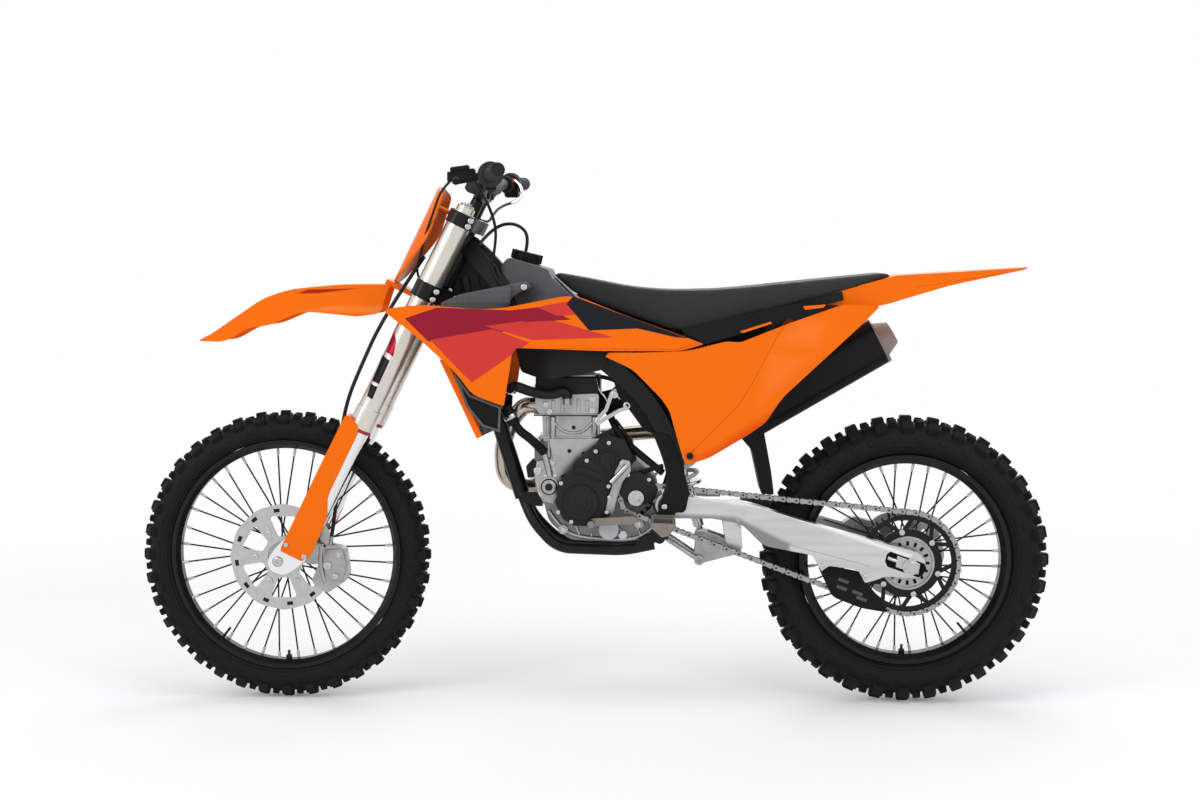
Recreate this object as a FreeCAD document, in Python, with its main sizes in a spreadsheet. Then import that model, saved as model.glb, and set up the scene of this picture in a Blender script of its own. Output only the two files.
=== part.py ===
import FreeCAD, Part
import math
import os
from types import SimpleNamespace
from FreeCAD import Placement, Rotation, Vector
# Motocross bike, millimetres and degrees.
# Stations (x) run rearward from the front axle and heights (z) up from the ground.
# The part's origin is the rider's place on the seat; +X points rearward, +Y to the bike's right, +Z up.
SIZES = {
    # chassis layout
    "arm_reach": 568, "rake": 26.1, "rider_station": 950, "seat_height": 991,
    "axle_lead": 38, "clamp_offset": 22, "fork_spacing": 196,
    "pivot_station": 925, "pivot_height": 484,
    "running_gap": 0.05, "seat_gap": 0.3, "free_gap": 6, "overrun": 5, "skin": 3,
    # front wheel
    "front_tyre_radius": 350, "front_tyre_width": 86, "front_lug_height": 14, "front_lug_length": 25,
    "front_rim_flange": 279, "front_rim_inner": 259,
    "front_rim_width": 50, "rim_wall": 4, "front_hub_width": 118, "front_hub_radius": 21,
    "front_flange_radius": 36, "front_flange_spacing": 56, "flange_wall": 6,
    "front_axle_radius": 13, "axle_bore_radius": 8.5, "front_axle_length": 232, "collar_radius": 19,
    "front_disc_radius": 130, "front_disc_inner": 104, "disc_wall": 3.5, "disc_seat_radius": 48,
    "front_disc_side": 53, "spoke_radius": 2, "spoke_lean": 27, "nipple_radius": 3.6, "nipple_length": 16,
    # rear wheel
    "rear_tyre_radius": 346, "rear_tyre_width": 114, "rear_lug_height": 17, "rear_lug_length": 30,
    "rear_rim_flange": 253, "rear_rim_inner": 231,
    "rear_rim_width": 66, "rear_hub_width": 164, "rear_hub_radius": 30, "rear_flange_radius": 50,
    "rear_flange_spacing": 78, "rear_axle_radius": 12.5, "axle_nut_length": 14,
    "rear_disc_radius": 110, "rear_disc_inner": 86, "rear_disc_side": 66,
    # final drive
    "chain_pitch": 15.875, "chain_side": 72, "chain_half_width": 9, "chain_plate_height": 14,
    "tooth_rise": 3.4, "tooth_gap": 0.6, "roller_radius": 5,
    "sprocket_wall": 7, "sprocket_bolt_circle": 178, "sprocket_hole_radius": 14,
    "drive_lead": 77, "drive_rise": 13, "drive_shaft_radius": 12,
    # fork and steering head
    "head_tube_radius": 27, "head_tube_low": 757, "head_tube_high": 893, "stem_radius": 14,
    "lower_clamp_low": 712, "clamp_wall": 40, "upper_clamp_low": 902, "upper_clamp_wall": 32,
    "tube_low": 372, "tube_high": 936, "tube_radius": 29, "tube_foot_radius": 31, "tube_foot_length": 52,
    "tube_top_radius": 27, "slider_radius": 24, "slider_low": 40, "cap_radius": 22, "cap_length": 14,
    "lug_wall": 46, "lug_radius": 24, "lug_front": 84, "lug_rise": 96,
    "guard_front": 67, "guard_depth": 72, "guard_low": 27, "guard_rise": 364, "guard_width": 54,
    # front fender and number plate
    "fender_x": -205, "fender_z": 869, "fender_length": 468, "fender_height": 136, "fender_width": 158,
    "tongue_front": 125, "tongue_back": 15, "tongue_side": 45, "tongue_wall": 12,
    "plate_low": 713, "plate_rise": 251, "plate_width": 226, "plate_front": 108, "plate_depth": 34,
    "plate_peg_side": 30, "plate_peg_radius": 5,
    # handlebar and hand controls
    "bar_station": 482, "bar_height": 1212, "bar_radius": 14, "bar_flat": 84, "bar_knee_side": 190,
    "bar_knee_back": 20, "bar_knee_rise": 38, "bar_end_side": 402, "bar_end_back": 68, "bar_end_rise": 47,
    "grip_length": 116, "grip_radius": 16.5, "grip_flange_radius": 29, "grip_flange_wall": 6,
    "pad_length": 76, "pad_height": 42, "pad_width": 176, "riser_spacing": 90, "riser_radius": 15,
    "lever_reach": 74, "lever_drop": 22, "lever_wall": 9, "perch_side": 262, "perch_radius": 17,
    # frame
    "frame_x": 380, "frame_z": 370, "frame_height": 760, "beam_bow": 35,
    "beam_height": 40, "beam_width": 20, "beam_side": 102, "beam_head_side": 24,
    "down_tube_radius": 19, "cradle_radius": 13, "cradle_side": 58, "guard_wall": 5, "guard_plate_x": 850,
    "guard_plate_z": 470, "guard_plate_length": 125, "guard_plate_height": 190,
    "mount_side": 30, "pivot_boss_radius": 24, "rail_size": 20, "rail_side": 96, "rail_peg_radius": 8,
    "hanger_width": 28, "hanger_wall": 5.7,
    # engine
    "case_lead": 325, "case_z": 390, "case_length": 308, "case_height": 250, "case_width": 112,
    "cylinder_back": 6, "cylinder_z": 632, "cylinder_length": 156, "cylinder_height": 160,
    "cylinder_width": 132, "barrel_width": 112, "cam_cover_width": 106, "neck_radius": 10, "neck_side": 84,
    "ignition_back": 60, "ignition_z": 436, "ignition_length": 122,
    "ignition_height": 158, "left_cover_side": 100, "ignition_lid_radius": 41, "left_lid_side": 108,
    "starter_lid_radius": 26, "pump_lid_radius": 24, "pump_lid_side": 74, "clutch_back": 90, "clutch_z": 404,
    "clutch_length": 190, "clutch_height": 186, "right_cover_side": 104, "clutch_lid_radius": 62,
    "right_lid_side": 112,
    # exhaust
    "header_radius": 20, "flange_radius": 25, "mid_pipe_radius": 21, "mid_pipe_z": 640, "silencer_side": 150,
    "silencer_width": 96, "silencer_height": 116, "silencer_x": 1130, "silencer_z": 681, "silencer_run": 317,
    "silencer_climb": 185, "end_cap_length": 36,
    # tank, seat and bodywork
    "tank_x": 525, "tank_z": 782, "tank_length": 256, "tank_height": 288, "tank_width": 250,
    "tank_cap_x": 581, "tank_cap_z": 1052, "tank_cap_radius": 34, "tank_cap_height": 30, "tank_cap_tilt": 14,
    "seat_x": 653, "seat_z": 895, "seat_length": 797, "seat_rise": 138, "seat_width": 236,
    "shroud_x": 265, "shroud_z": 727, "shroud_length": 744, "shroud_height": 257, "shroud_side": 212,
    "shroud_wall": 5, "panel_x": 778, "panel_z": 586, "panel_length": 635, "panel_height": 375,
    "panel_side": 148, "panel_wall": 4,
    "tail_length": 552, "tail_height": 96, "tail_width": 216,
    "flap_lead": 51, "flap_rise": 160, "flap_length": 92, "flap_height": 230, "flap_width": 120,
    "airbox_x": 1020, "airbox_z": 636, "airbox_length": 170, "airbox_height": 304,
    # radiators
    "radiator_x": 492, "radiator_z": 655, "radiator_lean": 25, "radiator_height": 190,
    "radiator_depth": 34, "radiator_inner": 82, "radiator_width": 76, "radiator_tank_height": 22,
    "radiator_tank_lip": 4, "radiator_pin_radius": 5, "louvre_height": 202, "louvre_depth": 14,
    "louvre_inner": 124, "louvre_width": 44, "louvre_rim": 5, "spigot_length": 14,
    # foot controls
    "peg_x": 884, "peg_z": 424, "peg_length": 58, "peg_height": 34, "peg_inner": 120, "peg_width": 84,
    "peg_bracket_rise": 41, "shift_x": 734, "shift_z": 436, "shift_length": 122, "shift_side": 124,
    "shift_wall": 10, "shift_shaft_radius": 6, "brake_x": 756, "brake_z": 440, "brake_length": 120,
    # rear suspension
    "arm_end_gap": 37, "arm_axle_drop": 40, "arm_rise": 34, "arm_side": 122, "arm_wall": 34,
    "arm_neck_side": 48, "arm_neck_wall": 37, "arm_pivot_radius": 30, "brace_lead": 75, "brace_length": 96,
    "brace_drop": 32, "brace_height": 46, "shock_top_lead": 20, "shock_top_rise": 288, "shock_foot_lead": 81,
    "shock_foot_drop": 84, "shock_radius": 26, "spring_radius": 36, "shock_eye_side": 21.7, "rocker_lead": 160,
    "rocker_drop": 112, "rocker_wall": 10, "rocker_hole_radius": 12, "rod_lead": 75, "rod_drop": 139,
    "rod_radius": 6, "cross_lead": 20, "cross_drop": 76, "guide_lead": 213, "guide_drop": 120,
    "guide_length": 170, "guide_height": 116, "caliper_lead": 142, "caliper_rise": 20,
    "caliper_length": 88, "caliper_height": 74, "caliper_wall": 15, "front_caliper_x": 70,
    "front_caliper_z": 292, "front_caliper_length": 92, "front_caliper_height": 92, "front_caliper_wall": 20,
    "bracket_wall": 8.7,
    # hoses
    "hose_radius": 11, "vent_radius": 4, "cable_radius": 3.5, "banjo_radius": 5, "banjo_length": 30,
}

doc = FreeCAD.newDocument("MotocrossBike")
sheet = doc.addObject("Spreadsheet::Sheet", "Sizes")
for row, (alias, value) in enumerate(SIZES.items(), start=1):
    sheet.set(f"A{row}", alias)
    sheet.set(f"B{row}", str(value))
    sheet.setAlias(f"B{row}", alias)
doc.recompute()
s = SimpleNamespace(**{alias: float(sheet.get(alias)) for alias in SIZES})
# places that follow from the sizes
s.wheelbase = s.pivot_station + s.arm_reach
s.arm_x = s.pivot_station + s.arm_end_gap
s.arm_z = s.rear_tyre_radius - s.arm_axle_drop
s.arm_height = s.pivot_height + s.arm_rise - s.arm_z
s.drive_station = s.pivot_station - s.drive_lead
s.drive_height = s.pivot_height + s.drive_rise
s.case_x = s.pivot_station - s.case_lead
s.cylinder_x = s.case_x + s.cylinder_back
s.ignition_x = s.case_x + s.ignition_back
s.clutch_x = s.case_x + s.clutch_back
NODES = []
ACROSS = Vector(0, 1, 0)
UPWARD = Vector(0, 0, 1)

# Places
def at(station, height, side=0):
    """a station, height and side of the bike in the part's own frame"""
    return Vector(station - s.rider_station, side, height - s.seat_height)

def axis_foot():
    """the point of the steering axis nearest the front axle"""
    reach = s.axle_lead + s.clamp_offset
    lean = math.radians(s.rake)
    return at(reach * math.cos(lean), s.front_tyre_radius - reach * math.sin(lean))

STEER = Placement(axis_foot(), Rotation(ACROSS, s.rake))
FRONT_AXLE = Placement(at(0, s.front_tyre_radius), Rotation())
REAR_AXLE = Placement(at(s.wheelbase, s.rear_tyre_radius), Rotation())
BIKE = Placement(at(0, 0), Rotation())

def steered(back, side, along):
    """a point given behind the steering axis, to the side and along the axis, in the part's frame"""
    return STEER.multVec(Vector(back, side, along))

# Outlines
def corners(shares, left, low, length, height):
    """points with their roundness, from shares of a length and a height"""
    return [(Vector(left + length * share[0], low + height * share[1], 0), share[2] if len(share) > 2 else 0)
            for share in shares]

def rounded(points, closed=True):
    """straight runs joined by tangent arcs; a roundness of 1 uses half of the shorter run"""
    count = len(points)
    ends = []
    for index, (here, roundness) in enumerate(points):
        if not roundness or (not closed and index in (0, count - 1)):
            ends.append((here, None, here))
            continue
        before = points[index - 1][0] - here
        after = points[(index + 1) % count][0] - here
        back = roundness * min(before.Length, after.Length) / 2
        half = before.getAngle(after) / 2
        if math.isclose(math.sin(half), 1, rel_tol=1e-6):
            ends.append((here, None, here))
            continue
        first = here + before.normalize() * back
        last = here + after.normalize() * back
        radius = back * math.tan(half)
        middle = here + (before + after).normalize() * (radius / math.sin(half) - radius)
        ends.append((first, Part.Arc(first, middle, last), last))
    curves = []
    for index in range(count if closed else count - 1):
        if ends[index][1]:
            curves.append(ends[index][1])
        start = ends[index][2]
        stop = ends[(index + 1) % count][0]
        if not start.isEqual(stop, s.running_gap / 100):
            curves.append(Part.LineSegment(start, stop))
    return curves

def mirrored_pairs(half):
    """a closed outline from its half, given as (along, half width, roundness)"""
    near = [(Vector(along, -width, 0), roundness) for along, width, roundness in half]
    far = [(Vector(along, width, 0), roundness) for along, width, roundness in reversed(half)]
    return near + far

def circle(across, up, radius):
    return Part.Circle(Vector(across, up, 0), UPWARD, radius)

# Document objects
def keep(item, name):
    item.Label = name
    NODES.append(item)
    return item

def body(name, where=BIKE):
    item = doc.addObject("PartDesign::Body", name)
    item.AllowCompound = True
    item.Placement = where
    return keep(item, name)

def sketch(owner, name, curves, role="XZ_Plane", offset=0):
    plane = next(feature for feature in owner.Origin.OriginFeatures if feature.Role == role)
    item = owner.newObject("Sketcher::SketchObject", name)
    item.AttachmentSupport = [(plane, "")]
    item.MapMode = "FlatFace"
    item.AttachmentOffset = Placement(Vector(0, 0, offset), Rotation())
    item.addGeometry(curves, False)
    return item

def pad(owner, name, curves, length, role="XZ_Plane", offset=0, middle=False):
    item = owner.newObject("PartDesign::Pad", name)
    item.Profile = sketch(owner, name + "Outline", curves, role, offset)
    item.setExpression("Length", length)
    item.SideType = "Symmetric" if middle else "One side"
    doc.recompute()
    return item

def pocket(owner, name, curves, role="XZ_Plane", offset=0):
    """a cut right through, both ways from its sketch"""
    item = owner.newObject("PartDesign::Pocket", name)
    item.Profile = sketch(owner, name + "Outline", curves, role, offset)
    item.Type = "ThroughAll"
    item.Midplane = True
    doc.recompute()
    return item

def revolve(owner, name, curves, role="XY_Plane"):
    """a turned form about the sketch's upright axis"""
    item = owner.newObject("PartDesign::Revolution", name)
    profile = sketch(owner, name + "Outline", curves, role)
    item.Profile = profile
    item.ReferenceAxis = (profile, ["V_Axis"])
    doc.recompute()
    return item

def mirror(owner, name, features):
    """the features again on the other side of the bike's middle plane"""
    plane = next(feature for feature in owner.Origin.OriginFeatures if feature.Role == "XZ_Plane")
    item = owner.newObject("PartDesign::Mirrored", name)
    item.Originals = features
    item.MirrorPlane = (plane, [""])
    owner.Tip = item
    doc.recompute()
    return item

def feature(name, shape):
    item = doc.addObject("Part::Feature", name)
    item.Shape = shape
    return keep(item, name)

# Shapes
def prism(points, direction):
    """a closed outline of rounded points, run along a direction"""
    face = Part.Face(Part.Wire([curve.toShape() for curve in rounded(points)]))
    return face.extrude(direction)

def side_prism(shares, left, low, length, height, near, far):
    """a side-view outline in bike stations and heights, run between two sides"""
    points = [(at(point.x, point.y, near), roundness)
              for point, roundness in corners(shares, left, low, length, height)]
    return prism(points, Vector(0, far - near, 0))

def plan_prism(half, low, high):
    """a plan-view outline symmetric about the middle plane, run between two heights"""
    points = [(at(point.x, low, point.y), roundness) for point, roundness in mirrored_pairs(half)]
    return prism(points, Vector(0, 0, high - low))

def rod(start, end, radius):
    return Part.makeCylinder(radius, (end - start).Length, start, end - start)

def tube(points, radius):
    """a round bar through rounded points"""
    path = Part.Wire([curve.toShape() for curve in rounded(points, closed=False)])
    start = path.Edges[0]
    ring = Part.Wire([Part.Circle(start.valueAt(start.FirstParameter),
                                  start.tangentAt(start.FirstParameter), radius).toShape()])
    return path.makePipeShell([ring], True, True)

def flat_tube(points, width, height):
    """a bar of rectangular section through rounded points, its width across the bike"""
    path = Part.Wire([curve.toShape() for curve in rounded(points, closed=False)])
    start = path.Edges[0]
    origin = start.valueAt(start.FirstParameter)
    along = start.tangentAt(start.FirstParameter)
    up = along.cross(ACROSS).normalize() * (height / 2)
    out = along.cross(up).normalize() * (width / 2)
    ring = Part.makePolygon([origin + up + out, origin + up - out, origin - up - out, origin - up + out,
                             origin + up + out])
    sweep = Part.BRepOffsetAPI.MakePipeShell(path)
    sweep.setBiNormalMode(ACROSS)
    sweep.add(ring)
    sweep.build()
    sweep.makeSolid()
    return sweep.shape()

def both_sides(shape):
    return [shape, shape.mirror(Vector(0, 0, 0), ACROSS)]

def together(shapes):
    return shapes[0].fuse(shapes[1:]).removeSplitter()

# Wheels
def rim_outline(inner, flange, width):
    half = width / 2
    lip = (flange - inner) / 2
    outer = [(inner, half / 2), (inner + lip, half), (flange, half)]
    inside = [(flange, half - s.rim_wall), (inner + lip + s.rim_wall / 2, half - s.rim_wall),
              (inner + s.rim_wall, half / 2 - s.rim_wall / 2)]
    upper = outer + inside
    lower = [(radius, -side) for radius, side in reversed(upper)]
    return rounded([(Vector(radius, side, 0), 0) for radius, side in upper + lower])

def hub_outline(bore, radius, flange, spacing, width, seat_side, seat_radius):
    """a hub turned about its axle, with two spoke flanges and a disc seat at one side"""
    inner = spacing / 2 - s.flange_wall / 2
    outer = spacing / 2 + s.flange_wall / 2
    shoulder = (radius + flange) / 2
    side = 1 if seat_side > 0 else -1
    seat = abs(seat_side) - s.disc_wall / 2
    points = [(bore, -side * width / 2), (radius, -side * width / 2), (radius, -side * outer),
              (flange, -side * outer), (flange, -side * inner), (radius, -side * inner),
              (radius, side * inner), (flange, side * inner), (flange, side * outer),
              (shoulder, side * outer), (shoulder, side * (seat - s.flange_wall)),
              (seat_radius, side * (seat - s.flange_wall)), (seat_radius, side * seat),
              (radius, side * seat), (radius, side * width / 2), (bore, side * width / 2)]
    return rounded([(Vector(across, up, 0), 0) for across, up in points])

def on_frame(along, up, side):
    """a point from shares of the frame's side-view box"""
    length = s.pivot_station + s.beam_bow - s.frame_x
    return at(s.frame_x + length * along, s.frame_z + s.frame_height * up, side)

def on_seat(along, up, side=0):
    """a point from shares of the seat's side-view box"""
    return at(s.seat_x + s.seat_length * along, s.seat_z + s.seat_rise * up, side)

def across_rod(station, height, near, far, radius):
    """a round bar square to the bike's middle plane"""
    return rod(at(station, height, near), at(station, height, far), radius)

def largest(shape):
    return sorted(shape.Solids, key=lambda solid: solid.Volume)[-1]

def pair_of(shape, where=None):
    """a shape and its mirror image as one node's separate solids"""
    pair = Part.makeCompound(both_sides(shape))
    if where:
        pair.Placement = where
    return pair

SPOKE_HOLE_COUNT = 9
DISC_LOBE_COUNT = 12
DISC_WINDOW_COUNT = 6
FRONT_LUG_ROW_COUNT = 36
REAR_LUG_ROW_COUNT = 32
CARCASS_SHARES = [(0.12, 0.76), (0.42, 0.88), (0.70, 0.84), (1.0, 0.40)]
LUG_WIDTH_SHARES = {"crown": 0.62, "shoulder": 0.74}
LUG_TAPER_SHARE = 0.86

def carcass_section(radius, width, lug_height, bead_radius, flange, rim_clear, bead):
    """the casing's section as (radius, side) from one bead over the crown to the other"""
    height = radius - lug_height - flange
    half = [(bead_radius, bead), (rim_clear, bead)]
    half += [(flange + height * rise, width / 2 * side) for rise, side in CARCASS_SHARES]
    return half + [(reach, -side) for reach, side in reversed(half)]

def lug_faces(corners_low, direction, height):
    """the open box of a tread lug: four flanks and a smaller top"""
    middle = (corners_low[0] + corners_low[2]) / 2
    corners_high = [middle + (corner - middle) * LUG_TAPER_SHARE + direction * height for corner in corners_low]
    count = len(corners_low)
    rings = [[corners_low[index], corners_low[(index + 1) % count], corners_high[(index + 1) % count],
              corners_high[index]] for index in range(count)]
    return [Part.Face(Part.makePolygon(ring + ring[:1])) for ring in rings + [corners_high]]

def tread_row(section, half_turn, radius, lug_height, lug_length):
    """one row of the tyre: a flat strip of casing with a crown lug and two shoulder lugs"""
    faces = []
    count = len(section)
    crown = len(section) // 2 - 1
    for index in range(count):
        (near, near_side), (far, far_side) = section[index], section[(index + 1) % count]
        ring = [Vector(reach * math.cos(half_turn), side, turn * reach * math.sin(half_turn))
                for reach, side, turn in ((near, near_side, -1), (far, far_side, -1), (far, far_side, 1),
                                          (near, near_side, 1))]
        outline = Part.makePolygon(ring + ring[:1])
        if index not in (crown - 1, crown, crown + 1):
            faces.append(Part.Face(outline))
            continue
        kind = "crown" if index == crown else "shoulder"
        middle = Vector((near + far) / 2 * math.cos(half_turn), (near_side + far_side) / 2, 0)
        across = (ring[1] - ring[0])
        across.z = 0
        half_width = across.normalize() * (math.hypot(far - near, far_side - near_side)
                                           * LUG_WIDTH_SHARES[kind] / 2)
        half_length = UPWARD * (lug_length / 2)
        outward = Vector(-across.y, across.x, 0)
        if outward.x < 0:
            outward = outward.negative()
        rise = radius - middle.x if kind == "crown" else lug_height
        foot = [middle - half_width - half_length, middle + half_width - half_length,
                middle + half_width + half_length, middle - half_width + half_length]
        faces.append(Part.makeFace([outline, Part.makePolygon(foot + foot[:1])], "Part::FaceMakerBullseye"))
        faces += lug_faces(foot, outward.normalize(), rise)
    return faces

def lugged_tyre(name, where, radius, width, rows, lug_height, lug_length, inner, flange, rim_width):
    """a knobbly tyre: one tread row repeated round the wheel and sewn into a closed solid"""
    bead = rim_width / 2 - s.rim_wall - s.seat_gap
    half_turn = math.pi / rows
    bead_radius = ((inner + flange) / 2 + s.rim_wall) / math.cos(half_turn)
    rim_clear = (flange + s.seat_gap) / math.cos(half_turn)
    section = carcass_section(radius, width, lug_height, bead_radius, flange, rim_clear, bead)
    row = tread_row(section, half_turn, radius, lug_height, lug_length)
    faces = [face.rotated(Vector(0, 0, 0), ACROSS, 360 * turn / rows) for turn in range(rows) for face in row]
    shell = Part.makeShell(faces)
    shell.sewShape()
    solid = Part.makeSolid(Part.Shell(shell.Faces))
    if solid.Volume < 0:
        solid.reverse()
    solid.Placement = where
    feature(name, solid)

def spokes(where, flange, spacing, rim_inner, rim_width):
    """crossed spokes between the hub's flanges and the rim, each with its nipple"""
    pieces = []
    for side in (-1, 1):
        for hole in range(SPOKE_HOLE_COUNT):
            for lean in (-1, 1):
                start_turn = math.radians(360 / SPOKE_HOLE_COUNT * (hole + 0.125 * side + 0.075 * lean))
                end_turn = start_turn + math.radians(lean * s.spoke_lean)
                gap = s.seat_gap * (3 if lean > 0 else 1)
                layer = side * (spacing / 2 + lean * (s.flange_wall / 2 + s.spoke_radius + gap))
                hub_radius = flange - s.spoke_radius * 2
                start = Vector(hub_radius * math.cos(start_turn), layer, hub_radius * math.sin(start_turn))
                rim_radius = rim_inner - s.nipple_radius * 0.16 - s.seat_gap
                end_side = side * rim_width / 8
                end = Vector(rim_radius * math.cos(end_turn), end_side, rim_radius * math.sin(end_turn))
                along = (end - start).normalize()
                nipple = rod(end - along * s.nipple_length, end, s.nipple_radius)
                pieces.append(rod(start, end, s.spoke_radius).fuse(nipple))
    shape = Part.makeCompound(pieces)
    shape.Placement = where
    return shape

def disc(name, where, radius, inner, side):
    """a brake disc with a scalloped rim, its window ring and the arms to the hub"""
    item = body(name, where)
    wave = s.disc_wall
    points = []
    for turn in range(2 * DISC_LOBE_COUNT):
        angle = math.pi * turn / DISC_LOBE_COUNT
        reach = radius if turn % 2 == 0 else radius - wave
        points.append((Vector(reach * math.cos(angle), reach * math.sin(angle), 0), 1))
    curves = rounded(points) + [circle(0, 0, s.disc_seat_radius - s.disc_wall * 3)]
    low = s.disc_seat_radius + s.disc_wall
    spread = math.pi / DISC_WINDOW_COUNT * 0.62
    for window in range(DISC_WINDOW_COUNT):
        middle = 2 * math.pi * (window + 0.5) / DISC_WINDOW_COUNT
        ring = [(Vector(reach * math.cos(middle + turn), reach * math.sin(middle + turn), 0), 0.4)
                for reach, turn in ((low, -spread * 0.8), (inner, -spread), (inner, spread), (low, spread * 0.8))]
        curves += rounded(ring)
    pad(item, name + "Plate", curves, "Sizes.disc_wall", offset=-side - s.disc_wall / 2)
    return item

def make_front_wheel():
    lugged_tyre("front_tyre", FRONT_AXLE, s.front_tyre_radius, s.front_tyre_width, FRONT_LUG_ROW_COUNT,
                s.front_lug_height, s.front_lug_length, s.front_rim_inner, s.front_rim_flange, s.front_rim_width)
    rim = body("front_rim", FRONT_AXLE)
    revolve(rim, "FrontRimRing", rim_outline(s.front_rim_inner, s.front_rim_flange, s.front_rim_width))
    hub = body("front_hub", FRONT_AXLE)
    revolve(hub, "FrontHubBarrel", hub_outline(s.front_axle_radius + s.running_gap, s.front_hub_radius,
                                               s.front_flange_radius, s.front_flange_spacing,
                                               s.front_hub_width, -s.front_disc_side, s.disc_seat_radius))
    feature("front_spokes", spokes(FRONT_AXLE, s.front_flange_radius, s.front_flange_spacing,
                                   s.front_rim_inner, s.front_rim_width))
    disc("front_disc", FRONT_AXLE, s.front_disc_radius, s.front_disc_inner, -s.front_disc_side)

def make_rear_wheel():
    lugged_tyre("rear_tyre", REAR_AXLE, s.rear_tyre_radius, s.rear_tyre_width, REAR_LUG_ROW_COUNT,
                s.rear_lug_height, s.rear_lug_length, s.rear_rim_inner, s.rear_rim_flange, s.rear_rim_width)
    rim = body("rear_rim", REAR_AXLE)
    revolve(rim, "RearRimRing", rim_outline(s.rear_rim_inner, s.rear_rim_flange, s.rear_rim_width))
    hub = body("rear_hub", REAR_AXLE)
    revolve(hub, "RearHubBarrel", hub_outline(s.rear_axle_radius + s.running_gap, s.rear_hub_radius,
                                              s.rear_flange_radius, s.rear_flange_spacing,
                                              s.rear_hub_width, s.rear_disc_side, s.disc_seat_radius))
    feature("rear_spokes", spokes(REAR_AXLE, s.rear_flange_radius, s.rear_flange_spacing,
                                  s.rear_rim_inner, s.rear_rim_width))
    disc("rear_disc", REAR_AXLE, s.rear_disc_radius, s.rear_disc_inner, s.rear_disc_side)

# Final drive
FRONT_TEETH_COUNT = 14
REAR_TEETH_COUNT = 48
SPROCKET_HOLE_COUNT = 6
TOOTH_TURN_SHARES = [(-0.32, 0), (-0.13, 1), (0.13, 1), (0.32, 0)]

def pitch_radius(teeth):
    return s.chain_pitch / (2 * math.sin(math.pi / teeth))

def toothed_outline(teeth):
    """a sprocket's outline: each tooth rises from its root to its tip and back"""
    points = []
    for tooth in range(teeth):
        for turn_share, rise in TOOTH_TURN_SHARES:
            turn = 2 * math.pi / teeth * (tooth + turn_share)
            reach = pitch_radius(teeth) + (s.tooth_rise if rise else -s.roller_radius)
            points.append((Vector(reach * math.cos(turn), reach * math.sin(turn), 0), 0))
    return rounded(points)

def make_sprockets():
    rear = body("rear_sprocket", REAR_AXLE)
    curves = toothed_outline(REAR_TEETH_COUNT) + [circle(0, 0, s.rear_hub_radius + s.running_gap)]
    for turn in range(SPROCKET_HOLE_COUNT):
        angle = 2 * math.pi * (turn + 0.5) / SPROCKET_HOLE_COUNT
        reach = s.sprocket_bolt_circle / 2
        curves.append(circle(reach * math.cos(angle), reach * math.sin(angle), s.sprocket_hole_radius))
    pad(rear, "RearSprocketPlate", curves, "Sizes.sprocket_wall", offset=s.chain_side - s.sprocket_wall / 2)
    front = body("front_sprocket", Placement(at(s.drive_station, s.drive_height), Rotation()))
    curves = toothed_outline(FRONT_TEETH_COUNT) + [circle(0, 0, s.drive_shaft_radius + s.running_gap)]
    pad(front, "FrontSprocketPlate", curves, "Sizes.sprocket_wall", offset=s.chain_side - s.sprocket_wall / 2)

def chain_loop(front_rise, rear_rise):
    """the chain's closed outline round both sprockets, bending at its pins"""
    front = Vector(s.drive_station, s.drive_height, 0)
    rear = Vector(s.wheelbase, s.rear_tyre_radius, 0)
    front_radius = pitch_radius(FRONT_TEETH_COUNT) + front_rise
    rear_radius = pitch_radius(REAR_TEETH_COUNT) + rear_rise
    span = rear - front
    tilt = math.asin((rear_radius - front_radius) / span.Length)
    line = math.atan2(span.y, span.x)
    points = []
    for centre, radius, wrap, heading, bends in (
            (rear, rear_radius, math.pi + 2 * tilt, line, REAR_TEETH_COUNT),
            (front, front_radius, math.pi - 2 * tilt, line + math.pi, 2 * FRONT_TEETH_COUNT)):
        steps = round(wrap / (2 * math.pi / bends))
        for step in range(steps + 1):
            turn = heading + wrap * (0.5 - step / steps)
            points.append((centre + Vector(math.cos(turn), math.sin(turn), 0) * radius, 0))
    return rounded(points)

def make_chain():
    """one closed loop: two rows of side plates joined round the outside, with the teeth's groove inside"""
    chain = body("chain")
    half = s.chain_plate_height / 2
    roof = s.tooth_rise + s.tooth_gap
    pad(chain, "ChainBand", chain_loop(half, half) + chain_loop(-half, -half), "2 * Sizes.chain_half_width",
        offset=s.chain_side - s.chain_half_width)
    groove = chain.newObject("PartDesign::Pocket", "ToothGroove")
    groove.Profile = sketch(chain, "ToothGrooveOutline", chain_loop(roof, roof), offset=s.chain_side)
    groove.setExpression("Length", "Sizes.sprocket_wall + 2 * Sizes.tooth_gap")
    groove.Midplane = True
    doc.recompute()

# Axles, fork and steering
def make_front_axle():
    axle = body("front_axle", FRONT_AXLE)
    half = s.front_axle_length / 2
    hub = s.front_hub_width / 2 + s.seat_gap
    lug = s.fork_spacing / 2 - s.lug_wall / 2
    points = [(s.axle_bore_radius, -half), (s.front_axle_radius, -half), (s.front_axle_radius, -lug),
              (s.collar_radius, -lug), (s.collar_radius, -hub), (s.front_axle_radius, -hub),
              (s.front_axle_radius, hub), (s.collar_radius, hub), (s.collar_radius, lug),
              (s.front_axle_radius, lug), (s.front_axle_radius, half), (s.axle_bore_radius, half)]
    revolve(axle, "FrontAxleShaft", rounded([(Vector(across, up, 0), 0) for across, up in points]))

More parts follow.
